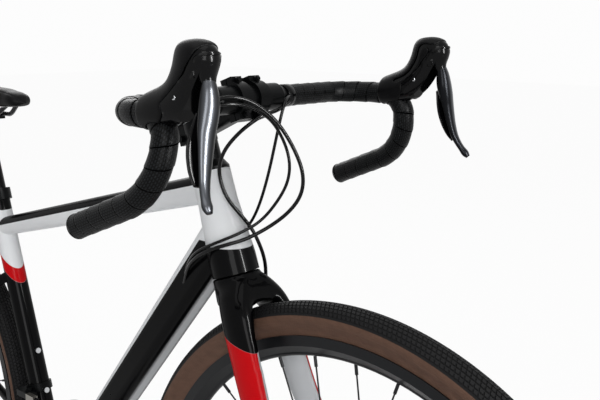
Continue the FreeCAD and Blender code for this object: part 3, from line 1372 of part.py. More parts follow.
bolt_guide = pulley_bolt("guide_bolt", guide_centre)
bolt_tension = pulley_bolt("tension_bolt", tension_centre)
cage_middles = [-size.chain_line + side * (size.cage_gap + size.cage_plate) / 2 for side in (-1, 1)]
cage_plates = [arm("cage_plate", guide_centre, tension_centre, 9.5, y, "sizes.cage_plate")
               for y in cage_middles]
cage_window = arm("cage_window", guide_centre * 0.7 + tension_centre * 0.3,
                  guide_centre * 0.3 + tension_centre * 0.7, 4.5, -size.chain_line, "3 * sizes.cage_gap")
cage_pin = rod("cage_pin", "6", "18", guide_centre + Y * (cage_outer_y - 17.5), Y)
cage_sides = cut("cage_sides", fused("cage_pair", *cage_plates), cage_window)
finished("derailleur_cage", fused("derailleur_cage", cage_sides, bolt_guide, bolt_tension, cage_pin))


def jockey_wheel(label, centre):
    """Pulley with a hub that reaches from cage plate to cage plate."""
    place = Placement(centre + Y * -size.chain_line, ACROSS)
    bore = 2.5 + size.running_gap
    phase = seated_phase(centre, pulley_pitch)
    disc = toothed(label + "_disc", size.pulley_teeth, phase, "sizes.sprocket_thickness", place, [(0, 0, bore)])
    core = ring(label + "_core", bore, 7, -size.cage_gap / 2 + 0.15, size.cage_gap / 2 - 0.15, place)
    return finished(label, fused(label, disc, core))


jockey_wheel("jockey_upper", guide_centre)
jockey_wheel("jockey_lower", tension_centre)

# Front derailleur: bracket on the seat tube, and a swinging cage over the large ring

cage_low = ring_pitch + 8
cage_high = cage_low + 17
swing_pivot = bracket + Vector(-14, -33, cage_high + 24)
swing_pin = rod("swing_pin", "3", "34", swing_pivot - X * 17, X)
band_height = (swing_pivot.z - bracket.z) / math.sin(math.radians(size.seat_angle))
band = ring("derailleur_band", size.seat_tube_radius + size.fit_gap, size.seat_tube_radius + 3,
            band_height - 6, band_height + 6, seat)
band_centre = along(seat, 0, 0, band_height)
bracket_back = box("bracket_back", Vector(band_centre.x - 6, swing_pivot.y - 4, swing_pivot.z - 5),
                   Vector(band_centre.x + 6, -size.seat_tube_radius - 1, swing_pivot.z + 5))
link_back = min(band_centre.x, swing_pivot.x - 17) - 6
bracket_link = box("bracket_link", Vector(link_back, swing_pivot.y - 4, swing_pivot.z - 5),
                   Vector(swing_pivot.x - 9, swing_pivot.y + 5, swing_pivot.z + 5))
finished("front_derailleur_bracket", cut("front_derailleur_bracket", fused(
    "bracket_blank_front", band, bracket_back, bracket_link, swing_pin), seat_blank))


def cage_side(name, y):
    """Curved plate that follows the large ring from above its middle to behind it."""
    first, last = math.radians(62), math.radians(104)
    middle = (first + last) / 2

    def at(radius, angle):
        return (radius * math.cos(angle), radius * math.sin(angle))
    outline = [at(cage_high, first), (*at(cage_high, middle), *at(cage_high, last)), at(cage_low, last),
               (*at(cage_low, middle), *at(cage_low, first))]
    return padded(name, outline, [], "1.4", Placement(bracket + Y * y, ACROSS))


inner_y, outer_y = -size.chain_line + 6.4, -size.chain_line - 6.4
cage_bridge = box("cage_bridge", Vector(-16, outer_y - 0.7, cage_high - 6),
                  Vector(6, inner_y + 0.7, cage_high - 3), Placement(bracket, Rotation()))
swing_arm = box("swing_arm", Vector(-8.6, -5, -26), Vector(12, 3, 5), Placement(swing_pivot, Rotation()))
swing_foot = box("swing_foot", Vector(-8.6, inner_y - swing_pivot.y - 0.7, -27), Vector(12, 3, -22),
                 Placement(swing_pivot, Rotation()))
swing_hole = rod("swing_hole", "3 + sizes.running_gap", "60", swing_pivot - X * 30, X)
swing_cage = fused("swing_cage", cage_side("cage_inner", inner_y), cage_side("cage_outer", outer_y),
                   cage_bridge, swing_arm, swing_foot)
finished("front_derailleur_cage", cut("front_derailleur_cage", swing_cage, swing_hole))


# Disc brake calipers, each with a swinging arm on its outer side

def caliper(end, centre, rotor_y, foot, lever, support):
    """Caliper body that straddles the rotor, with two feet to its support and a pin for the arm along lever."""
    half = size.caliper_thickness / 2
    body = arm(end + "_caliper_block", centre - foot.cross(Y) * 14, centre + foot.cross(Y) * 14, 13, rotor_y,
               "sizes.caliper_thickness")
    slot = rod(end + "_caliper_slot", "sizes.rotor_radius + 1.5", "sizes.caliper_slot",
               (front_axle if end == "front" else rear_axle) + Y * (rotor_y - size.caliper_slot / 2), Y)
    foot_start = centre + foot * 8 + Y * (rotor_y + half - 1)
    feet = [rod(end + "_caliper_foot", "5", "30", foot_start + foot.cross(Y) * reach, foot)
            for reach in (-15.5, 15.5)]
    pin = rod(end + "_caliper_pin", "sizes.caliper_pin_radius", "8", centre + Y * (rotor_y + half - 1), Y)
    blank = cut(end + "_caliper_open", fused(end + "_caliper_blank", body, *feet), slot, support)
    finished(end + "_caliper", fused(end + "_caliper", blank, pin))
    hinge = centre + Y * (rotor_y + half + 0.5 + size.arm_thickness / 2)
    lever_bar = arm(end + "_arm_bar", hinge, hinge + lever * 32, 6, hinge.y, "sizes.arm_thickness")
    hole = rod(end + "_arm_hole", "sizes.caliper_pin_radius + sizes.running_gap", "40", hinge - Y * 20, Y)
    finished(end + "_caliper_arm", cut(end + "_caliper_arm", lever_bar, hole))


rotor_grip = size.rotor_radius - 8
front_caliper_centre = front_axle + steer_turn.multVec(Vector(-0.55, 0, 0.835)) * rotor_grip
front_lever = forward * -0.8 + forward.cross(Y) * 0.6
caliper("front", front_caliper_centre, front_rotor_y, forward, front_lever, fork)
rear_caliper_centre = (rear_axle - chainstay_direction * (0.83 * rotor_grip)
                       - chainstay_direction.cross(Y) * (0.55 * rotor_grip))
caliper("rear", rear_caliper_centre, rear_rotor_y, Z * -1, X, rear_stays)

# Cable housings: hand-picked routes from the bar to the frame and the fork

offset_bar = bar_centre - Vector(337.2, 0, 907.7)


def housing(name, radius, route):
    """Housing along straight runs and tangent arcs; prints its length, its tightest arc and its volume."""
    points = [Vector(*point) + offset_bar for point in route]
    path, radii = bent_path(points)
    section = circle_section(name + "_section", f"sizes.{radius}", points[0], points[1] - points[0])
    cord = swept(name + "_cord", path, section)
    doc.recompute([cord, section])
    area = math.pi * getattr(size, radius) ** 2
    print(f"{name}: length {path.Length:.0f}, tightest arc {min(radii):.1f}, "
          f"volume {cord.Shape.Volume:.0f} against {area * path.Length:.0f}")
    return cord


REAR_BRAKE = [(351, -60.9, 911), (357, -50, 914), (366, -30, 911), (374, -12, 901), (382, 8, 882), (391, 24, 853),
              (397, 33, 825), (394, 34, 800), (382, 26, 779), (364, 12, 761), (346, -8, 747), (332, -25, 741.5),
              (316, -34.5, 735), (295, -36.5, 724), (274, -32, 708), (258, -24, 689), (248, -19, 672)]
REAR_SHIFT = [(350.6, -60.2, 904), (357, -48, 906.6), (364.5, -24, 903.8), (372, 3, 889), (378, 18, 866),
              (383, 25, 841), (381, 26, 817), (372, 20, 794), (355, 8, 767), (341, -14, 754), (320, -33, 742.5),
              (296, -34.5, 731), (277, -31, 718), (260, -24, 700), (249, -18.5, 683)]
FRONT_BRAKE = [(349.5, 60.9, 901.5), (353.5, 46, 896.3), (359, 26, 893), (361, 9, 892), (355.5, -7, 884),
               (341, -17.5, 869), (321, -18.5, 849), (310.5, -17, 829), (310.5, -14, 809), (318.5, -10.5, 790),
               (327.5, 0, 773), (334.5, 11, 757), (338.5, 19.5, 739), (340.5, 27.5, 719), (340, 32, 700),
               (338, 33.5, 683)]
FRONT_SHIFT = [(350.5, 60.9, 908.5), (358, 47.5, 907.5), (362.8, 36, 897.5), (361.5, 31, 880), (353.5, 32, 853.5),
               (344, 34, 825), (334, 34.5, 796), (323, 34, 769.5), (309, 34.5, 749.5), (293, 33.5, 734.5),
               (275, 31, 715), (259, 25, 693), (249, 19, 676)]
rear_shift = housing("rear_shift", "shift_housing_radius", REAR_SHIFT)
rear_brake = housing("rear_brake", "brake_housing_radius", REAR_BRAKE)
front_shift = housing("front_shift", "shift_housing_radius", FRONT_SHIFT)
front_brake = housing("front_brake", "brake_housing_radius", FRONT_BRAKE)
frame_cords = [cut(cord.Name + "_entry", cord, down_tube) for cord in (rear_shift, rear_brake, front_shift)]
finished("frame_housings", grouped("frame_housings", *frame_cords))
finished("front_brake_housing", cut("front_brake_housing", front_brake, fork))

# Bottle bolts on the seat tube and the down tube

bolts = []
for rise in (0, size.bottle_bolt_spacing):
    foot = along(seat, size.seat_tube_radius - 1, 0, size.bottle_bolt_height + rise)
    bolts.append(rod("bottle_bolt", "sizes.bottle_bolt_radius", "4", foot, seat.Rotation.multVec(X)))
down_direction = (down_tube_front - down_tube_rear).normalize()
down_normal = down_direction.cross(Y)
for rise in (0, size.bottle_bolt_spacing):
    foot = down_tube_rear + down_direction * (210 + rise) + down_normal * (size.down_tube_rear_height / 2 - 1)
    bolts.append(rod("bottle_bolt", "sizes.bottle_bolt_radius", "5", foot, down_normal))
bolt_cut = [cut("bottle_bolt_cut", bolt, seat_blank if count < 2 else down_tube_loft)
            for count, bolt in enumerate(bolts)]
finished("frame_bolts", grouped("frame_bolts", *bolt_cut))

# Checks and export

doc.recompute()
for item in doc.Objects:
    if "Invalid" in item.State or "Error" in item.State:
        raise RuntimeError(f"{item.Label} failed: {item.State}")
for item in nodes:
    if item.Shape.isNull() or not item.Shape.isValid():
        raise RuntimeError(f"{item.Label} has no valid shape")
os.makedirs("parts", exist_ok=True)
for item in nodes:
    item.Shape.exportStep(f"parts/{item.Label}.step")
print(f"{len(nodes)} sub-parts written")
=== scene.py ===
# %% [markdown]
# # A gravel bike with a flared drop bar, dressed around its CAD frame
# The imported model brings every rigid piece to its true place, in metres, with the bike standing on the floor,
# +X forward and +Y to the rider's left. This script only adds looks: finishes for the rigid pieces, and new
# surfaces for what is soft, wound or moulded (tape, hoods, saddle, tyres and cable housings).

# %% Load the frame
import json
import math

import bmesh
import bpy
import numpy as np
from mathutils import Matrix, Vector


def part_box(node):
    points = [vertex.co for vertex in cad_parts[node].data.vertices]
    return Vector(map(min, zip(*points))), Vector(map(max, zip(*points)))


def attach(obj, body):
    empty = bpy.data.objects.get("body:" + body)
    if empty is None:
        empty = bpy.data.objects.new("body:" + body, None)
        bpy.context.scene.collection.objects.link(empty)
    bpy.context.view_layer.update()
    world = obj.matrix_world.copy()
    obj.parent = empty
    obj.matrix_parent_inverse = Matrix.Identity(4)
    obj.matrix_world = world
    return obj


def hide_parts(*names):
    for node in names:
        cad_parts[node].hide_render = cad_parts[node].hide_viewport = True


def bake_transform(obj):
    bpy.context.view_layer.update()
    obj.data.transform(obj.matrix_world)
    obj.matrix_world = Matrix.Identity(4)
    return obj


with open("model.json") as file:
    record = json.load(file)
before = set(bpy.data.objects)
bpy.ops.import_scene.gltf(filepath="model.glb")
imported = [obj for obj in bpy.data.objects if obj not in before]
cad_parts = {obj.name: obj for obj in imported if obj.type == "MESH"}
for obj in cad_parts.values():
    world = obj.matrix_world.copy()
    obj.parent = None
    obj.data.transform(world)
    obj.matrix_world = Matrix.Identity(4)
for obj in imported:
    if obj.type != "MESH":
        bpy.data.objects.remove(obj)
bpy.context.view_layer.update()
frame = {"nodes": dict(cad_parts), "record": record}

MM = 0.001
scene = bpy.context.scene
nodes = frame["nodes"]

# %% [markdown]
# ## Camera
# The photograph looks at the bar from the front right, a little above it. A camera is three things here: a place,
# a direction given as yaw and pitch with a small roll, and a lens. Building the turn from the three axes keeps
# the roll exact, which a track-to constraint would lose.

# %% Camera at the photograph's viewing angle
CAMERA_PLACE = Vector((1.001494, -0.684403, 0.989962))
YAW, PITCH, ROLL = 2.2755107, -0.2046477, 0.0095489
LENS_MM, SENSOR_MM = 50.367, 36.0
CLIP_NEAR, CLIP_FAR = 0.05, 60.0


def placed(name, data):
    """A new object of that name with its data, linked to the scene."""
    made = bpy.data.objects.new(name, data)
    scene.collection.objects.link(made)
    return made


ahead = Vector((math.cos(PITCH) * math.cos(YAW), math.cos(PITCH) * math.sin(YAW), math.sin(PITCH)))
level = ahead.cross(Vector((0, 0, 1))).normalized()
upright = level.cross(ahead)
right = math.cos(ROLL) * level + math.sin(ROLL) * upright
top = math.cos(ROLL) * upright - math.sin(ROLL) * level
facing = Matrix((right, top, -ahead)).transposed()
lens = bpy.data.cameras.new("photo_camera")
lens.lens, lens.sensor_width = LENS_MM, SENSOR_MM
lens.clip_start, lens.clip_end = CLIP_NEAR, CLIP_FAR
camera = placed("photo_camera", lens)
camera.matrix_world = Matrix.Translation(CAMERA_PLACE) @ facing.to_4x4()
scene.camera = camera
scene.view_settings.view_transform = "Standard"
print("camera looks along", [round(v, 3) for v in ahead])

# %% [markdown]
# ## One helper for nodes, one for colour
# Shader trees read best when each node is one line. `add_node` makes a node, sets its properties and fills its
# inputs: a plain value is written on the socket, and another node or its output is linked to it. Colours are
# picked in sRGB, as on a screen, but light adds up linearly, so every hex value passes through `linear`.

# %% Node and colour helpers


def add_node(tree, kind, inputs=None, **settings):
    """Adds one shader node; its inputs are set to values, or linked to sockets or to nodes' first outputs."""
    node = tree.nodes.new("ShaderNode" + kind)
    for key, value in settings.items():
        setattr(node, key, value)
    for key, value in (inputs or {}).items():
        if isinstance(value, bpy.types.Node):
            value = value.outputs[0]
        if isinstance(value, bpy.types.NodeSocket):
            tree.links.new(value, node.inputs[key])
        else:
            node.inputs[key].default_value = value
    return node


def linear(hex_colour):
    """sRGB hex to linear RGBA: below 0.04045 a straight line, above it a power of 2.4."""
    srgb = np.array([int(hex_colour[i:i + 2], 16) for i in (1, 3, 5)]) / 255
    rgb = np.where(srgb <= 0.04045, srgb / 12.92, ((srgb + 0.055) / 1.055) ** 2.4)
    return (*rgb.tolist(), 1.0)


def new_material(name):
    """A material with an empty tree; returns both."""
    material = bpy.data.materials.new(name)
    material.use_nodes = True
    material.node_tree.nodes.clear()
    return material, material.node_tree


def per_mm(size_mm):
    """Texture scale, in repeats per metre, of a feature of that size in millimetres."""
    return 1.0 / (size_mm * MM)


print("mid grey #808080 is", round(linear("#808080")[0], 3), "in linear light")

# %% [markdown]
# ## Studio
# The bike stands before pure white. Floor and world look white to the camera, through glass and in reflections,
# while the light they give stays low, so that the lamps can model the forms. Soft boxes stand above, to the front
# right and behind. The narrow strip in front shows only in gloss: it draws long highlights and keeps blacks dark.

# %% World and floor
WORLD_LIGHT, WORLD_SEEN, FLOOR_SEEN = 0.2, 0.98, 0.96
PURE_WHITE, FLOOR_GREY, FLOOR_HALF = (1, 1, 1, 1), (0.9, 0.9, 0.9, 1), 14.0


def white_rays(tree):
    """1 for rays that look (from the camera, through glass, in gloss), 0 for those that carry light."""
    path = add_node(tree, "LightPath")
    clear = add_node(tree, "Math", {
        0: path.outputs["Is Camera Ray"], 1: path.outputs["Is Transmission Ray"]}, operation="MAXIMUM")
    seen = add_node(tree, "Math", {0: clear, 1: path.outputs["Is Glossy Ray"]}, operation="MAXIMUM")
    return seen


world = bpy.data.worlds.new("white_studio")
scene.world = world
world.use_nodes = True
world.node_tree.nodes.clear()
tree = world.node_tree
plain = add_node(tree, "Background", {"Color": PURE_WHITE, "Strength": WORLD_LIGHT})
white = add_node(tree, "Background", {"Color": PURE_WHITE, "Strength": WORLD_SEEN})
whole = add_node(tree, "MixShader", {0: white_rays(tree), 1: plain, 2: white})
add_node(tree, "OutputWorld", {"Surface": whole})

# matt white board that melts into the background
floor_paint, tree = new_material("studio_floor_matt_white")
share = add_node(tree, "Math", {0: white_rays(tree), 1: FLOOR_SEEN}, operation="MULTIPLY")
matt = add_node(tree, "BsdfDiffuse", {"Color": FLOOR_GREY})
glow = add_node(tree, "Emission", {"Color": PURE_WHITE, "Strength": 1.0})
surface = add_node(tree, "MixShader", {0: share, 1: matt, 2: glow})
add_node(tree, "OutputMaterial", {"Surface": surface})

floor_mesh = bpy.data.meshes.new("studio_floor")
corners = FLOOR_HALF * np.array([(-1, -1, 0), (1, -1, 0), (1, 1, 0), (-1, 1, 0)])
floor_mesh.from_pydata(corners.tolist(), [], [(0, 1, 2, 3)])
floor_mesh.materials.append(floor_paint)
placed("studio_floor", floor_mesh)
print("floor", 2 * FLOOR_HALF, "m wide")

# %% Lamps
LAMP_TARGET = Vector((0.2, 0, 0.7))
# name, place, width and length in metres, watts, and whether matt surfaces get its light
LAMPS = [
    ("overhead_softbox", (0.5, -0.8, 3.2), 2.2, 2.2, 22, True),
    ("front_strip", (2.9, 0.2, 1.3), 0.22, 2.0, 120, False),
    ("side_softbox", (2.3, -2.1, 1.5), 1.2, 2.0, 48, True),
    ("rear_softbox", (-2.4, 1.8, 2.2), 1.6, 1.6, 22, True),
]
for lamp_name, place, width, length, watts, lights_matt in LAMPS:
    lamp = bpy.data.lights.new(lamp_name, "AREA")
    lamp.shape, lamp.size, lamp.size_y, lamp.energy = "RECTANGLE", width, length, watts
    holder = placed(lamp_name, lamp)
    holder.location = place
    holder.rotation_euler = (LAMP_TARGET - Vector(place)).to_track_quat("-Z", "Y").to_euler()
    holder.visible_diffuse = lights_matt
print(len(LAMPS), "soft lamps, total", sum(row[4] for row in LAMPS), "W")

# %% [markdown]
# ## Gloss paint with colour zones
# The tubes carry white, black and red lacquer under one clear coat. Masking tape leaves straight lines, so each
# zone is the overlap of half spaces in object coordinates: a colour shows where every `normal . position` is
# above its limit. Real lacquer is never mirror flat, so a shallow ripple (orange peel) bends the gloss, and a wide
# faint haze shifts its tone and sharpness.

# %% Lacquer with masked zones
PEEL_MM, PEEL_STRENGTH, PEEL_DEPTH, HAZE_MM = 7.0, 0.06, 0.4, 40.0


def lacquer(name, ground, zones=()):
    """Clear-coated paint: the ground colour, then each zone (colour, fade, [(normal, limit), ...]) over it."""
    material, tree = new_material(name)
    place = add_node(tree, "TexCoord").outputs["Object"]
    shown = linear(ground)
    for zone_colour, fade, planes in zones:
        mask = 1.0
        for normal, limit in planes:
            dot = add_node(tree, "VectorMath", {0: place, 1: normal}, operation="DOT_PRODUCT")
            edge = add_node(tree, "MapRange", {
                "Value": dot.outputs["Value"], "From Min": limit - fade, "From Max": limit + fade})
            mask = add_node(tree, "Math", {0: mask, 1: edge}, operation="MULTIPLY")
        mix = add_node(tree, "Mix", {0: mask, 6: shown, 7: linear(zone_colour)}, data_type="RGBA")
        shown = mix.outputs[2]
    peel = add_node(tree, "TexNoise", {"Vector": place, "Scale": per_mm(PEEL_MM), "Detail": 1.0})
    bump = add_node(tree, "Bump", {"Strength": PEEL_STRENGTH, "Distance": PEEL_DEPTH * MM, "Height": peel})
    haze = add_node(tree, "TexNoise", {"Vector": place, "Scale": per_mm(HAZE_MM), "Detail": 4.0})
    shade = add_node(tree, "MapRange", {"Value": haze, "To Min": 0.94, "To Max": 1.02})
    tone = add_node(tree, "Mix", {0: 1.0, 6: shown, 7: shade}, data_type="RGBA", blend_type="MULTIPLY")
    rough = add_node(tree, "MapRange", {"Value": haze, "To Min": 0.24, "To Max": 0.36})
    shader = add_node(tree, "BsdfPrincipled", {
        "Specular IOR Level": 0.02, "Coat Weight": 0.09, "Coat Roughness": 0.04, "Roughness": rough,
        "Base Color": tone.outputs[2], "Normal": bump})
    add_node(tree, "OutputMaterial", {"Surface": shader})
    return material


def below(normal, limit):
    """The half space under a plane, written as the one above the plane's mirror."""
    return tuple(-v for v in normal), -limit


print("orange peel", PEEL_MM, "mm wide, haze", HAZE_MM, "mm")

# %% Colour zones of the tubes and the fork
WHITE, BLACK, RED, PALE = "#e9ebed", "#040405", "#c60811", "#c6c8cb"
SHARP, SOFT = 0.0003, 0.0035  # half width of a masked edge and of a sprayed one, in metres
UP, OUT = (0, 0, 1), (0, 1, 0)
HEAD_LINE, LUG_LINE, SEAT_LINE = 0.735, 0.739, 0.702
TOP_NORMAL, TOP_LINE = (-0.272, 0, 1), 0.7298
DOWN_NORMAL, BELLY_LINE, RIDGE_LINE, BELLY_HALF = (-0.7825, 0.0, 0.6226), 0.2097, 0.2399, 0.009
CHEVRON, BAND_LOW, BAND_HIGH = (0.8, 0.0, 1.0), 0.467, 0.484
CROWN_NORMAL, CROWN_LINE, FORK_TIP = (0.25, 0, 1), 0.726, 0.392
FLANK_SLOPE, FLANK_LINE = 0.0752, 0.0838

# each lacquer: hard colours with straight edges under a clear, slightly rippled shine
head_paint = lacquer("gloss_lacquer_head_tube", WHITE, [(BLACK, SHARP, [below(UP, HEAD_LINE)])])
top_paint = lacquer("gloss_lacquer_top_tube", WHITE, [(BLACK, SHARP, [(TOP_NORMAL, TOP_LINE)])])
down_paint = lacquer("gloss_lacquer_down_tube", BLACK, [
    (PALE, SOFT, [below(DOWN_NORMAL, BELLY_LINE), (OUT, -BELLY_HALF), below(OUT, BELLY_HALF)]),
    (WHITE, SHARP, [(DOWN_NORMAL, RIDGE_LINE)]),
    (WHITE, SHARP, [(UP, LUG_LINE)])])
seat_paint = lacquer("gloss_lacquer_seat_tube", WHITE, [
    (BLACK, SHARP, [below(CHEVRON, BAND_LOW)]),
    (RED, SHARP, [below(CHEVRON, BAND_HIGH), (CHEVRON, BAND_LOW)]),
    (BLACK, SHARP, [(UP, SEAT_LINE)])])
blade_span = [below(CROWN_NORMAL, CROWN_LINE), (UP, FORK_TIP)]
fork_paint = lacquer("gloss_lacquer_fork", BLACK, [
    (PALE, SHARP, blade_span),
    (RED, SHARP, blade_span + [((0, 1, FLANK_SLOPE), FLANK_LINE)]),
    (RED, SHARP, blade_span + [((0, -1, FLANK_SLOPE), FLANK_LINE)])])
black_paint = lacquer("gloss_lacquer_black", BLACK)
print("lacquers:", head_paint.name, top_paint.name, down_paint.name, seat_paint.name, fork_paint.name)

# %% [markdown]
# ## Metals, moulded plastics and rubber
# The other rigid pieces differ in three things that the eye reads at once: how dark they are, how sharp the
# highlight is, and what grain breaks it. One recipe holds all three, and each finish states its own values.

# %% Grained finishes
WEAR_MM, GRAIN_STRENGTH = 45.0, 0.35


def grained(name, colour, metallic, roughness, grain_mm, depth_mm, spread=0.12, coat=0.0, level=0.5):
    """A noise of the grain's size gives the bump; a wide one shifts the tone, and the roughness by the spread."""
    material, tree = new_material(name)
    place = add_node(tree, "TexCoord").outputs["Object"]
    grain = add_node(tree, "TexNoise", {"Vector": place, "Scale": per_mm(grain_mm), "Detail": 3.0})
    wear = add_node(tree, "TexNoise", {"Vector": place, "Scale": per_mm(WEAR_MM), "Detail": 4.0})
    rough = add_node(tree, "MapRange", {
        "Value": wear, "To Min": max(roughness - spread, 0.02), "To Max": roughness + spread})
    bump = add_node(tree, "Bump", {"Strength": GRAIN_STRENGTH, "Distance": depth_mm * MM, "Height": grain})
    shade = add_node(tree, "MapRange", {"Value": wear, "To Min": 0.7, "To Max": 1.3})
    tone = add_node(tree, "Mix", {0: 1.0, 6: linear(colour), 7: shade}, data_type="RGBA", blend_type="MULTIPLY")
    shader = add_node(tree, "BsdfPrincipled", {
        "Base Color": tone.outputs[2], "Metallic": metallic, "Specular IOR Level": level, "Coat Weight": coat,
        "Coat Roughness": 0.08, "Roughness": rough, "Normal": bump})
    add_node(tree, "OutputMaterial", {"Surface": shader})
    return material


# values in order: colour, metallic, roughness, grain size and depth in millimetres
FINISHES = {
    # bead-blasted and anodised: a soft wide highlight with a fine sparkle
    "black_alloy": grained("satin_black_anodised_aluminium", "#08090a", 0.2, 0.36, 0.8, 0.05, level=0.07),
    # polished and dyed grey: long bright highlights
    "grey_alloy": grained("polished_gunmetal_aluminium", "#2e3034", 0.92, 0.24, 6.0, 0.003, spread=0.03, coat=0.1),
    # turned on a lathe, then anodised: dark with a grey sheen
    "ring_alloy": grained("machined_black_aluminium", "#1a1b1d", 0.5, 0.36, 0.6, 0.05, level=0.2),
    # extruded rim, anodised black after machining: even and satin
    "rim_alloy": grained("satin_black_rim_aluminium", "#141517", 0.3, 0.34, 1.0, 0.04, level=0.2),
    # plated bolts and axles: bright, with a cool clear shine
    "steel": grained("zinc_plated_steel", "#b4b6b8", 1.0, 0.28, 0.5, 0.03),
    # links under a film of oil: warm grey with a broken shine
    "chain_steel": grained("oiled_chain_steel", "#7d7a74", 1.0, 0.34, 0.6, 0.05),
    # stamped sprockets: pale metal with blurred reflections
    "sprocket_steel": grained("nickel_plated_sprocket_steel", "#a2a3a3", 1.0, 0.3, 0.6, 0.04),
    # blackened wire: a thin dark line with a fine highlight
    "spoke_steel": grained("black_drawn_spoke_steel", "#1a1a1c", 0.7, 0.35, 0.5, 0.03),
    # glass-filled nylon from a polished mould: dark with a clear reflection
    "black_plastic": grained(
        "glossy_moulded_nylon", "#050506", 0.0, 0.2, 3.0, 0.04, spread=0.06, coat=0.08, level=0.08),
    "black_paint": black_paint,
}
NYLON = FINISHES["black_plastic"]
print(len(FINISHES), "finishes")

# %% Finishes on the CAD nodes
PAINTED = {"head_tube": head_paint, "top_tube": top_paint, "down_tube": down_paint, "seat_tube": seat_paint,
           "fork": fork_paint, "bottom_bracket_shell": black_paint, "rear_stays": black_paint,
           "rear_dropouts": black_paint, "stem_bolts": FINISHES["black_alloy"],
           "saddle_rails": FINISHES["spoke_steel"]}
slot_of = {piece["node"]: piece["material_slot"] for piece in frame["record"]["subparts"]}
for node_name, node in nodes.items():
    finish = PAINTED.get(node_name) or FINISHES.get(slot_of.get(node_name), FINISHES["black_alloy"])
    node.data.materials.clear()
    node.data.materials.append(finish)
print(len(PAINTED), "nodes by name and the rest of", len(nodes), "by slot")

# %% [markdown]
# ## Cable housings
# Each housing is a steel coil in a black polymer sleeve, pushed into a smooth loop between bar and frame. A NURBS
# spline through the route's control points gives that loop: it has no straight runs and never kinks. Three of them
# enter the frame, and the front brake's stays on the fork.

# %% Routes of the housings
# control points in millimetres; the shift brings them to the bar's final place
BAR_SHIFT = np.array([-0.3684, 0.0, 0.9327])
REAR_BRAKE = [(351, -60.9, 911), (357, -50, 914), (366, -30, 911), (374, -12, 901), (382, 8, 882), (391, 24, 853),
              (397, 33, 825), (394, 34, 800), (382, 26, 779), (364, 12, 761), (346, -8, 747), (332, -25, 741.5),
              (316, -34.5, 735), (295, -36.5, 724), (274, -32, 708), (258, -24, 689), (248, -19, 672)]
REAR_SHIFT = [(350.6, -60.2, 904), (357, -48, 906.6), (364.5, -24, 903.8), (372, 3, 889), (378, 18, 866),
              (383, 25, 841), (381, 26, 817), (372, 20, 794), (355, 8, 767), (341, -14, 754), (320, -33, 742.5),
              (296, -34.5, 731), (277, -31, 718), (260, -24, 700), (249, -18.5, 683)]
FRONT_BRAKE = [(349.5, 60.9, 901.5), (353.5, 46, 896.3), (359, 26, 893), (361, 9, 892), (355.5, -7, 884),
               (341, -17.5, 869), (321, -18.5, 849), (310.5, -17, 829), (310.5, -14, 809), (318.5, -10.5, 790),
               (327.5, 0, 773), (334.5, 11, 757), (338.5, 19.5, 739), (340.5, 27.5, 719), (340, 32, 700),
               (338, 33.5, 683)]
FRONT_SHIFT = [(350.5, 60.9, 908.5), (358, 47.5, 907.5), (362.8, 36, 897.5), (361.5, 31, 880), (353.5, 32, 853.5),
               (344, 34, 825), (334, 34.5, 796), (323, 34, 769.5), (309, 34.5, 749.5), (293, 33.5, 734.5),
               (275, 31, 715), (259, 25, 693), (249, 19, 676)]
print("control points", [len(route) for route in (REAR_BRAKE, REAR_SHIFT, FRONT_BRAKE, FRONT_SHIFT)])

# %% Housings as NURBS sweeps
BRAKE_RADIUS, SHIFT_RADIUS = 2.25, 1.85
# extruded sleeve: a smooth black with one thin line of light along it
housing_sleeve = grained(
    "extruded_black_housing_sleeve", "#050506", 0.0, 0.2, 1.6, 0.04, spread=0.05, coat=0.08, level=0.12)


def piece_of(name, mesh, material, smooth=True):
    """An object of the mesh in one material, shaded smooth or in flat faces."""
    mesh.name = name
    mesh.materials.clear()
    mesh.materials.append(material)
    mesh.polygons.foreach_set("use_smooth", np.full(len(mesh.polygons), smooth))
    return placed(name, mesh)


def baked(source):
    """The mesh that a curve or a modified object shows; the source itself is removed."""
    bpy.context.view_layer.update()
    mesh = bpy.data.meshes.new_from_object(source.evaluated_get(bpy.context.evaluated_depsgraph_get()))
    bpy.data.objects.remove(source)
    return mesh


def housing(name, route, radius_mm):
    """Round sweep of the radius along a quadratic NURBS spline that starts and ends on the route's end points."""
    curve = bpy.data.curves.new(name + "_line", "CURVE")
    curve.dimensions = "3D"
    spline = curve.splines.new("NURBS")
    control = (np.array(route) + BAR_SHIFT) * MM
    spline.points.add(len(control) - 1)
    spline.points.foreach_set("co", np.column_stack([control, np.ones(len(control))]).ravel())
    spline.order_u = 3
    spline.use_endpoint_u = True
    spline.resolution_u = 10
    curve.bevel_depth, curve.bevel_resolution, curve.use_fill_caps = radius_mm * MM, 5, True
    piece = piece_of(name, baked(placed(name + "_line", curve)), housing_sleeve)
    return piece


frame_housings = [
    housing("rear_brake_housing", REAR_BRAKE, BRAKE_RADIUS),
    housing("rear_shift_housing", REAR_SHIFT, SHIFT_RADIUS),
    housing("front_shift_housing", FRONT_SHIFT, SHIFT_RADIUS)]
for piece in frame_housings:
    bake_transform(piece)
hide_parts("frame_housings")
fork_housing = housing("fork_brake_housing", FRONT_BRAKE, BRAKE_RADIUS)
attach(fork_housing, "steering")
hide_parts("front_brake_housing")
print("housings:", [piece.name for piece in frame_housings + [fork_housing]])

# %% [markdown]
# ## Bar tape
# Cork-and-polymer tape is wound from the end of the drop to the tops, each turn half over the last. It could be
# modelled as a ribbon, but a tube whose radius rises along every turn and drops at the edge of the next looks the
# same and stays closed. The bar's centre line comes first, from its straight runs and arcs.

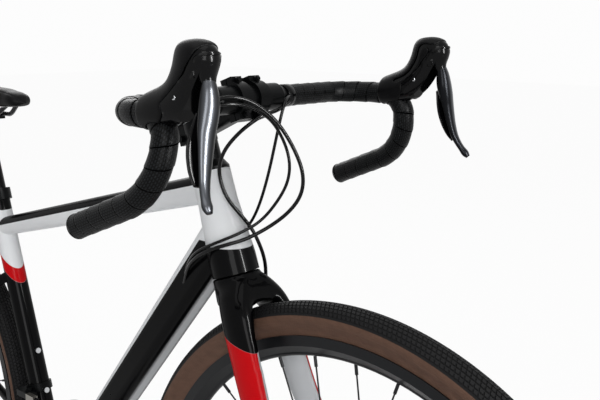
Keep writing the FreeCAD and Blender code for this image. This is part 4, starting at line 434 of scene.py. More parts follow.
# %% Centre line of the bar
BAR_CENTRE = np.array([336.8316, 0.0, 908.6327])
HALF_WIDTH, CORNER, REACH = 188.0, 46.0, 86.0
UPPER_HOOK, LOWER_HOOK, HOOK_TURN, TAIL = 24.0, 69.0, math.radians(67.0), 76.0
FLARE = math.radians(11.3)
TAPE_START, LINE_STEP = 61.0, 0.9
AHEAD, LEFT = np.array([1.0, 0.0, 0.0]), np.array([0.0, 1.0, 0.0])
DOWN = np.array([0.0, math.sin(FLARE), -math.cos(FLARE)])


def run(start, direction, length):
    """Straight line: start + distance x direction."""
    return start + np.linspace(0, length, max(int(length / LINE_STEP), 2))[:, None] * direction


def arc(centre, radius, first, second, sweep):
    """Part of a circle: centre + radius x (cos x first + sin x second)."""
    turn = np.linspace(0, sweep, max(int(radius * sweep / LINE_STEP), 3))[:, None]
    return centre + radius * (np.cos(turn) * first + np.sin(turn) * second)


def path_length(points):
    """Distance walked from the first point to each of them."""
    return np.concatenate([[0], np.cumsum(np.linalg.norm(np.diff(points, axis=0), axis=1))])


def bar_line():
    """Points of the left half's centre line: tops, corner, ramp, upper hook, lower hook and tail, end to end."""
    ramp_end = REACH - UPPER_HOOK
    corner_centre = BAR_CENTRE + AHEAD * CORNER + LEFT * (HALF_WIDTH - CORNER)
    hood_point = BAR_CENTRE + AHEAD * ramp_end + LEFT * HALF_WIDTH
    upper_centre = hood_point + DOWN * UPPER_HOOK
    lower_centre = upper_centre + AHEAD * (UPPER_HOOK - LOWER_HOOK)
    tail_direction = DOWN * math.cos(HOOK_TURN) - AHEAD * math.sin(HOOK_TURN)
    tail_start = lower_centre + LOWER_HOOK * (AHEAD * math.cos(HOOK_TURN) + DOWN * math.sin(HOOK_TURN))
    return np.concatenate([
        run(BAR_CENTRE + LEFT * TAPE_START, LEFT, HALF_WIDTH - CORNER - TAPE_START),
        arc(corner_centre, CORNER, -AHEAD, LEFT, math.pi / 2)[1:],
        run(BAR_CENTRE + AHEAD * CORNER + LEFT * HALF_WIDTH, AHEAD, ramp_end - CORNER)[1:],
        arc(upper_centre, UPPER_HOOK, -DOWN, AHEAD, math.pi / 2)[1:],
        arc(lower_centre, LOWER_HOOK, AHEAD, DOWN, HOOK_TURN)[1:],
        run(tail_start, tail_direction, TAIL)[1:]])


tape_line = bar_line()
along_bar = path_length(tape_line)
print("tape covers", round(along_bar[-1]), "mm of each side of the bar")

# %% [markdown]
# ### Finish of the tape
# The face is a soft polymer pressed into rows of small blocks. A brick pattern in the piece's own UV gives them,
# because the UV runs along the winding and so do the rows; its black mortar paints shade into the grooves. Beside
# each turn's edge a narrow band of painted shade marks the crease: a black matt shader takes over there.

# %% Pressed polymer
TAPE_PITCH = 20.0
BLOCK_LONG, BLOCK_WIDE, BLOCK_GAP = 3.4, 2.6, 0.65  # a little coarser than real blocks, so that they show
LAP_SHIFT, CREASE_AT, CREASE_HALF = 0.1, 0.072, 0.03  # in turns
FLECK_MM, FLECK_SHARE, PRESS_DEPTH = 0.9, 0.18, 0.8

# satin blocks between grooves of painted shade: a fine woven shimmer
tape_finish, tree = new_material("pressed_polymer_bar_tape")
uv_place = add_node(tree, "TexCoord").outputs["UV"]
# painted shade: the black mortar darkens the grooves between the blocks
blocks = add_node(tree, "TexBrick", {
    "Vector": uv_place, "Scale": 1.0, "Color1": (1, 1, 1, 1), "Color2": (0.8, 0.8, 0.8, 1),
    "Mortar": (0, 0, 0, 1), "Mortar Size": BLOCK_GAP * MM, "Mortar Smooth": 0.2,
    "Brick Width": BLOCK_LONG * MM, "Row Height": BLOCK_WIDE * MM}, offset=0.5, squash=1.0)
along = add_node(tree, "SeparateXYZ", {"Vector": uv_place})
turns = add_node(tree, "Math", {
    0: along.outputs["X"], 1: per_mm(TAPE_PITCH), 2: LAP_SHIFT}, operation="MULTIPLY_ADD")
lap = add_node(tree, "Math", {0: turns}, operation="FRACT")
# painted shade: a narrow band round each turn's crease
edge = add_node(tree, "Math", {0: lap, 1: CREASE_AT, 2: CREASE_HALF}, operation="COMPARE")
off_painted_crease = add_node(tree, "Math", {0: 1.0, 1: edge}, operation="SUBTRACT")
face = add_node(tree, "Math", {0: blocks.outputs["Color"], 1: off_painted_crease}, operation="MULTIPLY")
fleck = add_node(tree, "TexNoise", {"Vector": uv_place, "Scale": per_mm(FLECK_MM), "Detail": 2.0})
height = add_node(tree, "Math", {0: fleck, 1: FLECK_SHARE, 2: face}, operation="MULTIPLY_ADD")
bump = add_node(tree, "Bump", {"Strength": 1.0, "Distance": PRESS_DEPTH * MM, "Height": height})
# block colour #1c1e20, with painted shade (#010101) in the grooves and at the crease
tone = add_node(tree, "Mix", {0: face, 6: linear("#010101"), 7: linear("#1c1e20")}, data_type="RGBA")
shader = add_node(tree, "BsdfPrincipled", {
    "Roughness": 0.36, "Specular IOR Level": 0.09, "Base Color": tone.outputs[2], "Normal": bump})
# painted shade at the crease: a black matt shader
shade = add_node(tree, "BsdfDiffuse", {"Color": linear("#020202")})
tape_face = add_node(tree, "MixShader", {0: edge, 1: shader, 2: shade})
add_node(tree, "OutputMaterial", {"Surface": tape_face})
print("tape blocks", BLOCK_LONG, "x", BLOCK_WIDE, "mm")

# %% [markdown]
# ### Winding and turned ends
# From here on, each new piece is a grid of points worked out as one numpy array. `grid_piece` turns a grid into a
# mesh, carries its UV map in metres along the surface, welds the seam and the poles, and turns the faces outwards.
# The end plugs and the finishing bands beside the stem are turned forms, so one profile each is enough.

# %% Grid, winding and lathe
WELD, AROUND = 1e-6, 72
TAPE_RADIUS, BAR_RADIUS, END_SINK = 13.2, 11.0, 0.5
TAPE_STEP, DENT_DEPTH, DENT_AT, DENT_WIDTH, TAPE_GIRTH = 0.7, 0.8, 0.965, 0.03, 84.0
OFF_BAR, OFF_AXIS = np.array([1.0, -1.0, -1.0]), np.array([0.3, -0.5, 0.81])  # no bar or axis runs along these


def grid_piece(name, points, uv, material, smooth=True):
    """Mesh of a (rows, columns, 3) grid: each cell is a quad, and the last column is welded to the first."""
    rows, columns = points.shape[:2]
    index = np.arange(rows * columns).reshape(rows, columns)
    quads = np.stack([index[:-1, :-1], index[1:, :-1], index[1:, 1:], index[:-1, 1:]], axis=-1).reshape(-1, 4)
    mesh = bpy.data.meshes.new(name)
    mesh.from_pydata(points.reshape(-1, 3).tolist(), [], quads.tolist())
    layer = mesh.uv_layers.new(name="UVMap")
    layer.data.foreach_set("uv", uv.reshape(-1, 2)[quads.ravel()].astype(np.float32).ravel())
    shell = bmesh.new()
    shell.from_mesh(mesh)
    bmesh.ops.remove_doubles(shell, verts=shell.verts, dist=WELD)
    bmesh.ops.recalc_face_normals(shell, faces=shell.faces)
    shell.to_mesh(mesh)
    shell.free()
    return piece_of(name, mesh, material, smooth)


def on_side(points, side):
    """Points of the left half in millimetres to metres, mirrored for the right half."""
    return points * np.array([1.0, side, 1.0]) * MM


def unit(vectors):
    """Each vector divided by its length."""
    return vectors / np.linalg.norm(vectors, axis=-1, keepdims=True)


def wound(name, side):
    """Line + radius x turning normal; radius = tape radius - step + step x (share of the turn) - narrow crease."""
    tangent = unit(np.gradient(tape_line, axis=0))
    first = unit(np.cross(tangent, OFF_BAR))
    second = np.cross(tangent, first)
    turn = np.linspace(0, 2 * math.pi, AROUND + 1)
    laid = along_bar[:, None] / TAPE_PITCH + turn[None] / (2 * math.pi)
    lap = laid % 1.0
    dent = DENT_DEPTH * np.exp(-((lap - DENT_AT) / DENT_WIDTH) ** 2)
    radius = TAPE_RADIUS - TAPE_STEP + TAPE_STEP * lap - dent
    radius[[0, -1]] = BAR_RADIUS - END_SINK
    ring = np.cos(turn)[None, :, None] * first[:, None] + np.sin(turn)[None, :, None] * second[:, None]
    points = on_side(tape_line[:, None] + radius[..., None] * ring, side)
    uv = np.stack(np.broadcast_arrays(laid * TAPE_PITCH, turn[None] / (2 * math.pi) * TAPE_GIRTH), -1) * MM
    piece = grid_piece(name, points, uv, tape_finish)
    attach(piece, "steering")
    return piece


def lathe(name, profile, origin, axis, side, material, around=48):
    """Profile of (radius, height) pairs turned about the axis through origin, in millimetres, on the steering."""
    axis = unit(axis)
    first = unit(np.cross(axis, OFF_AXIS))
    second = np.cross(axis, first)
    turn = np.linspace(0, 2 * math.pi, around + 1)
    radius, rise = np.array(profile, float).T
    ring = np.cos(turn)[None, :, None] * first + np.sin(turn)[None, :, None] * second
    points = on_side(origin + rise[:, None, None] * axis + radius[:, None, None] * ring, side)
    uv = np.stack(np.broadcast_arrays(rise[:, None], turn[None] * radius.max()), -1) * MM
    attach(grid_piece(name, points, uv, material), "steering")


print("tape turns", round(along_bar[-1] / TAPE_PITCH, 1), "on each side")

# %% Tape, plugs and bands
PLUG = [(0, 0.1), (TAPE_RADIUS, 0.1), (TAPE_RADIUS, 1.0), (TAPE_RADIUS - 0.6, 1.7), (9.5, 2.9), (6.0, 2.6),
        (5.0, 3.2), (0, 3.3)]
BAND = [(BAR_RADIUS, 0.0), (13.0, 0.0), (13.45, 0.5), (13.45, 11.5), (13.0, 12.0), (BAR_RADIUS, 12.0)]
BAND_PLACE = BAR_CENTRE + LEFT * (TAPE_START - 0.05)
SIDES = ((1.0, "left"), (-1.0, "right"))

for side, hand in SIDES:
    tape = wound("bar_tape_" + hand, side)
    if side > 0:
        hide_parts("bar_tape")
    lathe("bar_plug_" + hand, PLUG, tape_line[-1], tape_line[-1] - tape_line[-2], side, NYLON)
    lathe("tape_band_" + hand, BAND, BAND_PLACE, LEFT, side, NYLON)
    print(hand, "tape", len(tape.data.polygons), "faces")

# %% [markdown]
# ## Rubber hoods
# The hood is one moulding stretched over the lever body: thick, matt and round at every edge. A sharp-edged solid
# can't look like that, so a copy of it is melted: remeshed into even cells, then relaxed, which rounds the edges
# as a mould would. Planes trim it first, where the glossy body shows under its nose.

# %% Melted copies of solids
RELAX = 0.5


def solid_copy(name, meshes, cuts=()):
    """One welded mesh of the given ones; all beyond each plane (point, normal) is cut off, and the cut closed."""
    mesh = bpy.data.meshes.new(name)
    shell = bmesh.new()
    for part in meshes:
        shell.from_mesh(part)
    bmesh.ops.remove_doubles(shell, verts=shell.verts, dist=WELD)
    for point, normal in cuts:
        whole = shell.verts[:] + shell.edges[:] + shell.faces[:]
        bmesh.ops.bisect_plane(shell, geom=whole, plane_co=point, plane_no=normal, clear_outer=True)
        bmesh.ops.holes_fill(shell, edges=[edge for edge in shell.edges if edge.is_boundary])
    shell.to_mesh(mesh)
    shell.free()
    return mesh


def melted(name, mesh, voxel_mm, rounds, material, body):
    """The solid rebuilt from cells of the voxel's size; each point then nears its neighbours' middle in rounds."""
    raw = placed(name + "_raw", mesh)
    cells = raw.modifiers.new("cells", "REMESH")
    cells.mode, cells.voxel_size = "VOXEL", voxel_mm * MM
    relax = raw.modifiers.new("relax", "SMOOTH")
    relax.factor, relax.iterations = RELAX, rounds
    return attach(piece_of(name, baked(raw), material), body)


print("a round moves each point", RELAX, "of the way")

# %% Hoods and lever bodies
HOOD_CELL, HOOD_ROUNDS = 1.1, 26
# cutting planes: a point in metres and the normal towards what is cut off
HOOD_BACK, HOOD_NOSE = ((0.397, 0, 0), (-1, 0, 0)), ((0.4768, 0, 0.9706), (0.8, 0, -0.6))
BODY_BACK, BODY_TOP = ((0.399, 0, 0), (-1, 0, 0)), ((0, 0, 0.9745), (0, 0, 1))
ROOF_BASE = ((0, 0, 0.9705), (0, 0, -1))
# pebbled rubber: a dull black with a soft wide sheen
hood_rubber = grained("matt_moulded_hood_rubber", "#050506", 0.0, 0.42, 1.1, 0.1, spread=0.06, level=0.08)

bracket_mesh = nodes["lever_brackets"].data
roof_mesh = solid_copy("hood_roof", [bracket_mesh], [ROOF_BASE])
hood_mesh = solid_copy("rubber_hoods", [nodes["lever_hoods"].data, roof_mesh], [HOOD_BACK, HOOD_NOSE])
hoods = melted("rubber_hoods", hood_mesh, HOOD_CELL, HOOD_ROUNDS, hood_rubber, "steering")
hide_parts("lever_hoods")

body_mesh = solid_copy("lever_bodies", [bracket_mesh], [BODY_BACK, BODY_TOP])
body_mesh.materials.append(NYLON)
lever_bodies = placed("lever_bodies", body_mesh)
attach(lever_bodies, "steering")
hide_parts("lever_brackets")
print("hoods", len(hoods.data.polygons), "faces, bodies", len(body_mesh.polygons))

# %% [markdown]
# ## Brake blades
# The blade hangs from a glossy cap at the top of the hood, swells below a narrow neck, then thins and sweeps out to
# a small ball at the tip. A row of oval sections along a curved line gives all of that, and the polished metal
# then shows one long highlight, which flat faces would break up. A painted highlight in the blade's colour adds to
# it.

# %% Oval sections along a line
HOOD_POINT = np.array([398.8316, 188.0, 908.6327])
SECTION_RADIUS = 8.0  # the UV runs round every section as if it had this radius


def eased(position, knots, values):
    """Smooth curve through knots: a cubic on each span, with slopes from the neighbouring knots."""
    knots, values = np.asarray(knots, float), np.asarray(values, float)
    slopes = np.gradient(values, knots)
    span = np.clip(np.searchsorted(knots, position) - 1, 0, len(knots) - 2)
    width = knots[span + 1] - knots[span]
    t = np.clip((position - knots[span]) / width, 0, 1)
    return ((2 * t ** 3 - 3 * t ** 2 + 1) * values[span] + (t ** 3 - 2 * t ** 2 + t) * width * slopes[span]
            + (3 * t ** 2 - 2 * t ** 3) * values[span + 1] + (t ** 3 - t ** 2) * width * slopes[span + 1])


def sectioned(name, table, side, material, body, rows=90, around=48):
    """Ovals along a smooth line: line + depth x cos x backward normal + width x sin x outward, closed by poles."""
    table = np.array(table, float)
    drop = path_length(table[:, :3])
    at = np.unique(np.concatenate([np.linspace(0, drop[-1], rows), drop]))
    forward, outward, rise, depth, half = (eased(at, drop, column) for column in table.T)
    centre = HOOD_POINT + np.column_stack([forward, outward, rise])
    tangent = unit(np.gradient(centre, at, axis=0))
    across = unit(LEFT - tangent * (tangent @ LEFT)[:, None])
    back = np.cross(across, tangent)
    turn = np.linspace(0, 2 * math.pi, around + 1)
    points = (centre[:, None] + (np.abs(depth)[:, None] * np.cos(turn))[..., None] * back[:, None]
              + (np.abs(half)[:, None] * np.sin(turn))[..., None] * across[:, None])
    poles = np.repeat(centre[[0, -1], None], around + 1, axis=1)
    points = on_side(np.concatenate([poles[:1], points, poles[1:]]), side)
    at = np.concatenate([at[:1], at, at[-1:]])
    uv = np.stack(np.broadcast_arrays(at[:, None], turn[None] * SECTION_RADIUS), -1) * MM
    piece = grid_piece(name, points, uv, material)
    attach(piece, body)
    return piece


print("sections start at", HOOD_POINT, "mm")

# %% [markdown]
# ### Finish of the blades
# A painted highlight lies in the blade's base colour: a lighter band runs down the front outer face, and the edges
# stay dark. The UV tells how far round the section a point lies, so a cosine of that angle carries the change, with
# no seam at the back.

# %% Aluminium with a painted highlight
# painted highlight: the lighter band's centre, in radians round from the section's back, and the cosine where it
# starts
HIGHLIGHT_TURN, HIGHLIGHT_FROM = 2.5, 0.55  # radians from the section's back, and the cosine where the polish starts
BRUSH_MM, BRUSH_DEPTH = 5.0, 0.02

# dark metal with a painted highlight: a lighter band of base colour between dark edges
blade_with_painted_highlight, tree = new_material("blade_aluminium_painted_highlight")
place = add_node(tree, "TexCoord").outputs["UV"]
parts = add_node(tree, "SeparateXYZ", {"Vector": place})
# painted highlight: the cosine of each point's angle from the band's centre
angle = add_node(tree, "Math", {
    0: parts.outputs["Y"], 1: per_mm(SECTION_RADIUS), 2: -HIGHLIGHT_TURN}, operation="MULTIPLY_ADD")
highlight_cosine = add_node(tree, "Math", {0: angle}, operation="COSINE")
painted_highlight = add_node(tree, "MapRange", {"Value": highlight_cosine, "From Min": HIGHLIGHT_FROM, "From Max": 1.0})
# painted highlight: base colour from #151618 at the edges to #505256 in the band
highlight_tone = add_node(tree, "Mix", {0: painted_highlight, 6: linear("#151618"), 7: linear("#505256")}, data_type="RGBA")
brushed = add_node(tree, "TexNoise", {"Vector": place, "Scale": per_mm(BRUSH_MM), "Detail": 2.0})
bump = add_node(tree, "Bump", {"Strength": 0.2, "Distance": BRUSH_DEPTH * MM, "Height": brushed})
shader = add_node(tree, "BsdfPrincipled", {
    "Metallic": 0.95, "Roughness": 0.28, "Base Color": highlight_tone.outputs[2], "Normal": bump})
add_node(tree, "OutputMaterial", {"Surface": shader})
print("polish within", round(math.degrees(math.acos(HIGHLIGHT_FROM))), "degrees of its front outer line")

# %% Blades and their caps
# forward, outward and upward from the hood's point, then half depth and half width of the section
BLADE = [(73, -0.5, 52, 5.5, 7), (75, 0, 44, 5.4, 6.8), (77.5, 0.5, 36, 5.2, 6.6), (79.5, 1.5, 27, 6.8, 8.6),
         (81, 3, 15, 8, 10.2), (82.5, 6, 3, 7.4, 10.2), (83.5, 9, -8, 6.2, 9.6), (85, 11.5, -20, 5.2, 8.6),
         (87.5, 15, -36, 4.2, 7.2), (91, 19, -50, 3.6, 5.8), (97, 23.5, -62, 3.4, 4.9), (102, 26, -69, 3.9, 4.9),
         (104.8, 26.9, -72.2, 2.4, 3.2)]
CAP = [(73, 0, 59.5, 10.0, 10.0), (74, 0, 55, 12.4, 13.4), (74.5, 0, 48, 12.0, 12.6), (75.5, 0, 41, 9.4, 10.0),
       (76.8, 0.2, 36, 6.8, 8.0), (78.4, 0.5, 31, 5.4, 6.8)]
for side, hand in SIDES:
    body = hand + "_brake_blade"
    blade = sectioned("brake_blade_" + hand, BLADE, side, blade_with_painted_highlight, body)
    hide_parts("brake_lever_" + hand)
    cap = sectioned("blade_cap_" + hand, CAP, side, NYLON, body)
    print(hand, "blade", len(blade.data.polygons), "faces, cap", len(cap.data.polygons))

# %% [markdown]
# ## Shift paddles and pivot screws
# Behind each blade hangs a flat moulded paddle that the finger tips push inwards. It is the same kind of form as the
# blade, only thin and wide, so the same row of sections makes it. A small plated screw on each face of the lever
# body holds the pivot: a turned head with a recess.

# %% Paddles
PADDLE = [(72.5, 5.5, 7, 2.4, 5), (73, 7, 2, 2.6, 6.5), (74, 10, -9, 2.8, 9.5), (75.6, 14, -22, 2.8, 11),
          (78.6, 17.5, -35, 2.6, 10), (82.4, 20.5, -46, 2.2, 7.4), (85.6, 22.5, -53, 1.6, 4)]
for side, hand in SIDES:
    paddle = sectioned("shift_blade_" + hand, PADDLE, side, NYLON, hand + "_paddle", rows=50, around=36)
    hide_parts("shift_paddle_" + hand)
print("paddles", max(row[4] for row in PADDLE) * 2, "mm wide")

# %% Pivot screws
SCREW = [(0, 0.2), (1.0, 0.2), (1.1, 0.7), (2.1, 0.8), (2.4, 0.5), (2.4, -3.0), (0, -3.0)]
SCREW_PLACE, SCREW_OUT = HOOD_POINT + np.array([50.0, 0.0, 20.0]), 15.6
for side, hand in SIDES:
    for face, name in ((1.0, "outer"), (-1.0, "inner")):
        lathe(f"lever_screw_{hand}_{name}", SCREW, SCREW_PLACE + LEFT * face * SCREW_OUT, LEFT * face, side,
              FINISHES["steel"], around=24)
print("screws", SCREW[4][0] * 2, "mm wide on both faces of each bracket")

# %% [markdown]
# ## Fork crown
# Under the steerer the two blades run together in a smooth arch above the tyre. The arch is a closed round-cornered
# section carried sideways from blade to blade: its top falls a little, and its base drops beside the tyre. It is
# melted into the fork and relaxed once more, so crown and blades flow into each other as in a moulded fork.

# %% Web between the blades
CROWN, FRONT_AXLE = np.array([320.798, 0.0, 699.272]), np.array([500.0, 0.0, 349.0])
STEER_UP, STEER_AHEAD = np.array([-0.33381, 0.0, 0.94264]), np.array([0.94264, 0.0, 0.33381])
WEB_HALF, WEB_TOP, TOP_FALL, WEB_BASE, BASE_FALL = 40.0, -3.0, 18.0, -40.0, 30.0
FALL_FROM, FALL_OVER = 17.0, 15.0
WEB_DEPTH, WEB_AHEAD, WEB_LEAN, CORNER_POWER = 23.0, 5.0, 0.3, 0.6
# free radius about the axle, by the distance from the middle
ARCH_SIDE, ARCH_RADIUS = [0, 7, 14, 20, 23.5, 25.5, 30], [354.5, 353, 350.2, 346, 340.5, 332, 309.5]


def squared(wave):
    """A sine or cosine drawn towards plus or minus one, which turns an oval into a round-cornered box."""
    return np.sign(wave) * np.abs(wave) ** CORNER_POWER


sideways = np.linspace(-WEB_HALF, WEB_HALF, 61)
turn = np.linspace(0, 2 * math.pi, 65)
drop = np.clip((np.abs(sideways) - FALL_FROM) / FALL_OVER, 0, 1)
drop = drop * drop * (3 - 2 * drop)
web_top = WEB_TOP - TOP_FALL * (sideways / WEB_HALF) ** 2
web_base = WEB_BASE - BASE_FALL * drop
slim = np.sqrt(1.0 - 0.9 * (sideways / WEB_HALF) ** 6)
up_by = (web_top + web_base)[:, None] / 2 + (web_top - web_base)[:, None] / 2 * squared(np.sin(turn))[None]
ahead_by = WEB_AHEAD - WEB_LEAN * up_by + (WEB_DEPTH * slim)[:, None] * squared(np.cos(turn))[None]
points = (CROWN + ahead_by[..., None] * STEER_AHEAD + up_by[..., None] * STEER_UP
          + sideways[:, None, None] * LEFT)
from_axle = (points - FRONT_AXLE) * np.array([1.0, 0.0, 1.0])
reach = np.linalg.norm(from_axle, axis=-1)
arch = np.interp(np.abs(sideways), ARCH_SIDE, ARCH_RADIUS)
clear = np.maximum(arch[:, None], reach) / reach
points = points + from_axle * (clear - 1.0)[..., None]
poles = np.repeat(points[[0, -1]].mean(axis=1, keepdims=True), len(turn), axis=1)
points = np.concatenate([poles[:1], points, poles[1:]]) * MM
web = grid_piece("crown_web", points, points[..., 1:], black_paint)
print("web down to", round(points[..., 2].min(), 3), "m")

# %% Crown melted into the fork
FORK_CELL, FORK_ROUNDS, FLOW_ROUNDS = 1.6, 16, 60
FLOW_TOP, FLOW_BASE = -5.0, -110.0  # along the steerer, from the crown

fork_mesh = solid_copy("fork_shell", [nodes["fork"].data, web.data])
bpy.data.objects.remove(web)
fork_shell = melted("fork_shell", fork_mesh, FORK_CELL, FORK_ROUNDS, fork_paint, "steering")
spots = np.empty(3 * len(fork_shell.data.vertices))
fork_shell.data.vertices.foreach_get("co", spots)
along_steerer = (spots.reshape(-1, 3) / MM - CROWN) @ STEER_UP
group = fork_shell.vertex_groups.new(name="crown")
in_crown = np.flatnonzero((along_steerer < FLOW_TOP) & (along_steerer > FLOW_BASE))
group.add(in_crown.tolist(), 1.0, "REPLACE")
flow = fork_shell.modifiers.new("crown_flow", "SMOOTH")
flow.factor, flow.iterations, flow.vertex_group = RELAX, FLOW_ROUNDS, "crown"
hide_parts("fork")
print("fork", len(fork_shell.data.polygons), "faces,", len(in_crown), "points flow")

# %% [markdown]
# ## Saddle
# A saddle is foam on a shell under a tight cover: a narrow nose, flanks that draw in under the sitting area, a
# crowned top with a pressure channel along the middle, and a tail that lifts. Sections along the length give its
# width, base and top, and a closed round-shouldered outline carries them.

# %% Saddle outline
SADDLE_LENGTH, SADDLE_HALF, SADDLE_DATUM = 275.0, 71.0, 864.84
SADDLE_SHARE = [0, 0.03, 0.14, 0.33, 0.55, 0.75, 0.91, 1.0]
SADDLE_WIDTH = [0.10, 0.20, 0.27, 0.36, 0.62, 0.93, 1.0, 0.74]
SADDLE_LOW = [6, 4, 1, 0, -1, 1, 7, 18]
SADDLE_HIGH = [13, 19, 26, 29, 31, 35, 40, 39]
NOSE_CLOSE, TAIL_CLOSE, WIDEST, TUCK = 0.03, 0.02, 0.45, 0.12  # shares of length, height and width
SIDE_POWER, TOP_POWER, BASE_POWER = 0.75, 0.8, 0.45  # below one: fuller than an oval

share = np.concatenate([[0], np.linspace(0.002, 0.998, 130), [1.0]])
turn = np.linspace(0, 2 * math.pi, 97)
width = eased(share, SADDLE_SHARE, SADDLE_WIDTH) * SADDLE_HALF
low, high = eased(share, SADDLE_SHARE, SADDLE_LOW), eased(share, SADDLE_SHARE, SADDLE_HIGH)
closing = np.sqrt(np.clip(np.minimum(share / NOSE_CLOSE, (1 - share) / TAIL_CLOSE), 0, 1))
side_step, rise = np.cos(turn), np.sin(turn)
across = np.sign(side_step) * np.abs(side_step) ** SIDE_POWER
lift = np.where(rise > 0, np.abs(rise) ** TOP_POWER, -np.abs(rise) ** BASE_POWER)
middle = (low + WIDEST * (high - low))[:, None]
up = np.where(lift > 0, lift * (high[:, None] - middle), lift * (middle - low[:, None]))
y = across[None] * width[:, None] * closing[:, None] * np.where(lift < 0, 1 + TUCK * lift, 1.0)[None]
print("saddle", SADDLE_LENGTH, "x", round(2 * width.max(), 1), "mm")

# %% Channel, seam and cover
CHANNEL_DEPTH, CHANNEL_HALF, CHANNEL_FROM, CHANNEL_TO, CHANNEL_EASE = 2.6, 6.5, 0.2, 0.92, 0.1
SEAM_DEPTH, SEAM_HALF, SEAM_PLACE, SEAM_ABOVE = 0.7, 1.3, 0.7, 0.2
COVER_GIRTH = 40
# leather-like sheet: a dull black with a fine pebble
saddle_cover = grained("matt_synthetic_saddle_cover", "#060607", 0.0, 0.44, 1.4, 0.1, spread=0.08, level=0.08)

channel = CHANNEL_DEPTH * np.exp(-(y / CHANNEL_HALF) ** 2) * (lift > 0)[None]
channel *= np.clip((share - CHANNEL_FROM) / CHANNEL_EASE, 0, 1)[:, None]
channel *= np.clip((CHANNEL_TO - share) / CHANNEL_EASE, 0, 1)[:, None]
seam = SEAM_DEPTH * np.exp(-((np.abs(y) - SEAM_PLACE * width[:, None]) / SEAM_HALF) ** 2)
z = SADDLE_DATUM + middle + up * closing[:, None] - channel - seam * (lift > SEAM_ABOVE)[None]
saddle_low, saddle_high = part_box("saddle")
x = np.broadcast_to((saddle_high.x / MM - share * SADDLE_LENGTH)[:, None], y.shape)
points = np.stack([x, y, z], -1) * MM
points[..., 2] += saddle_low.z - points[..., 2].min()
uv = np.stack(np.broadcast_arrays(share[:, None] * SADDLE_LENGTH, turn[None] * COVER_GIRTH), -1) * MM
saddle = grid_piece("saddle_cushion", points, uv, saddle_cover)
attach(saddle, "seat")
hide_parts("saddle")
print("saddle top", round(points[..., 2].max(), 4), "CAD", round(saddle_high.z, 4))

# %% [markdown]
# ## Tyres
# A gravel tyre has a casing with tan side walls and a black rubber tread of small blocks. The casing is a profile
# carried round the axle. The tread's rows and columns of the grid lie on the edges of its blocks, so each block
# gets sharp sides from few faces, and the columns are sheared outwards into a shallow V.

# %% Profile, rows and columns
AXLE_HEIGHT, BLOCKS_ROUND, BLOCKS_ACROSS, BLOCK_DEPTH = 349.0, 370, 8, 1.5
PROFILE_RADIUS = [311.0, 316.5, 322.0, 327.0, 332.0, 337.5, 341.8, 345.4, 347.9, 349.0]
PROFILE_SIDE = [10.6, 11.6, 14.6, 18.2, 20.0, 19.0, 16.3, 11.6, 5.9, 0.0]
TREAD_HALF, SHOULDER, WALL_ROWS, SHEAR = 20.5, 0.8, 10, 0.03
# groove, its far edge, and the two edges of the block, as shares of one pitch; 1 where the block stands
EDGES, STANDS = np.array([0.0, 0.17, 0.24, 0.93]), np.array([0.0, 0.0, 1.0, 1.0])

profile = np.column_stack([
    PROFILE_RADIUS + PROFILE_RADIUS[-2::-1], PROFILE_SIDE + [-v for v in PROFILE_SIDE[-2::-1]]])
walked = path_length(profile)
walked -= walked[-1] / 2
across_rows = (np.arange(BLOCKS_ACROSS)[:, None] + EDGES).ravel() / BLOCKS_ACROSS * 2 * TREAD_HALF - TREAD_HALF
wall_rows = np.linspace(TREAD_HALF + SHOULDER, walked[-1], WALL_ROWS)
rows = np.concatenate([-wall_rows[::-1], across_rows, [TREAD_HALF], wall_rows])
flat_wall = np.zeros(WALL_ROWS)
row_block = np.concatenate([flat_wall, np.tile(STANDS, BLOCKS_ACROSS), [0.0], flat_wall])
columns = np.concatenate([(np.arange(BLOCKS_ROUND)[:, None] + EDGES).ravel() / BLOCKS_ROUND, [1.0]])
column_block = np.concatenate([np.tile(STANDS, BLOCKS_ROUND), [0.0]])
print("tyre grid", len(rows), "rows by", len(columns), "columns")

# %% [markdown]
# ### Finish of the tyres
# Tread and wall are one skin in two colours: carbon-black rubber, and tan where the casing's threads show through
# thin gum. The UV's second axis is the distance from the middle, so one limit on it parts them.

# %% Tan wall and black tread
TAN_FROM, TAN_TO = 23.6, 24.2
CLOUD_MM, GRIT_MM, THREAD_SHARE, SKIN_DEPTH = 14.0, 1.2, 0.4, 0.2
THREAD_MM = 6.0  # coarser than the real threads, so that they show

# dry rubber: no clear shine, a cloudy tan and a dusty black
tyre_finish, tree = new_material("tan_wall_gravel_tyre_rubber")
uv_place = add_node(tree, "TexCoord").outputs["UV"]
parts = add_node(tree, "SeparateXYZ", {"Vector": uv_place})
off_middle = add_node(tree, "Math", {0: parts.outputs["Y"]}, operation="ABSOLUTE")
wall = add_node(tree, "MapRange", {"Value": off_middle, "From Min": TAN_FROM * MM, "From Max": TAN_TO * MM})
cloud = add_node(tree, "TexNoise", {"Vector": uv_place, "Scale": per_mm(CLOUD_MM), "Detail": 5.0})
tan = add_node(tree, "Mix", {0: cloud, 6: linear("#49362c"), 7: linear("#664c3f")}, data_type="RGBA")
colour = add_node(tree, "Mix", {0: wall, 6: linear("#0d0d0e"), 7: tan.outputs[2]}, data_type="RGBA")
threads = add_node(tree, "TexWave", {
    "Vector": uv_place, "Scale": per_mm(THREAD_MM), "Distortion": 0.4, "Detail": 1.0},
    wave_type="BANDS", bands_direction="DIAGONAL")
grit = add_node(tree, "TexNoise", {"Vector": uv_place, "Scale": per_mm(GRIT_MM), "Detail": 3.0})
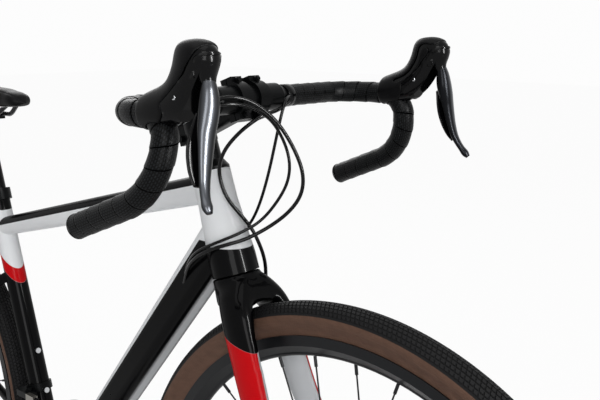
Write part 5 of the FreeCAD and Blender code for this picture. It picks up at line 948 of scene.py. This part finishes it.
height = add_node(tree, "Math", {0: threads.outputs["Fac"], 1: THREAD_SHARE, 2: grit}, operation="MULTIPLY_ADD")
bump = add_node(tree, "Bump", {"Strength": 0.5, "Distance": SKIN_DEPTH * MM, "Height": height})
shader = add_node(tree, "BsdfPrincipled", {
    "Roughness": 0.62, "Specular IOR Level": 0.16, "Base Color": colour.outputs[2], "Normal": bump})
add_node(tree, "OutputMaterial", {"Surface": shader})
print("tan starts", TAN_FROM, "mm from the middle")

# %% Tyre casing and tread
BEAD_RADIUS, BEAD_HALF = AXLE_HEIGHT - 41.0, 6.0
AXLES = (("front", 500.0), ("rear", -500.0))


def round_axle(axle_x, radius, angle, side):
    """Points at a radius and angle about an axle, and at a distance from the middle plane, in metres."""
    across = np.broadcast_to(side, angle.shape)
    return np.stack([axle_x + radius * np.sin(angle), across, AXLE_HEIGHT + radius * np.cos(angle)], -1) * MM


in_tread = np.clip((TREAD_HALF + SHOULDER - np.abs(rows)) / SHOULDER, 0, 1)
sunk = BLOCK_DEPTH * in_tread[:, None] * (1 - row_block[:, None] * column_block[None])
radius = eased(rows, walked, profile[:, 0])[:, None] - sunk
side_at = eased(rows, walked, profile[:, 1])[:, None]
angle = 2 * math.pi * columns[None] + SHEAR * (np.abs(rows) / TREAD_HALF)[:, None]
tyre_uv = np.stack(np.broadcast_arrays(columns[None] * 2 * math.pi * AXLE_HEIGHT, rows[:, None]), -1) * MM
loop_uv = np.concatenate([tyre_uv, tyre_uv[-1:], tyre_uv[:1], tyre_uv[:1]])
for end, axle_x in AXLES:
    outer = round_axle(axle_x, radius, angle, side_at)
    loop = np.concatenate([
        outer, round_axle(axle_x, BEAD_RADIUS, angle[-1:], -BEAD_HALF),
        round_axle(axle_x, BEAD_RADIUS, angle[:1], BEAD_HALF), outer[:1]])
    tyre = grid_piece(end + "_tyre_tread", loop, loop_uv, tyre_finish, smooth=False)
    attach(tyre, end + "_wheel")
    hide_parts(end + "_tyre")
    print(end, "tyre", 2 * len(tyre.data.polygons), "triangles")
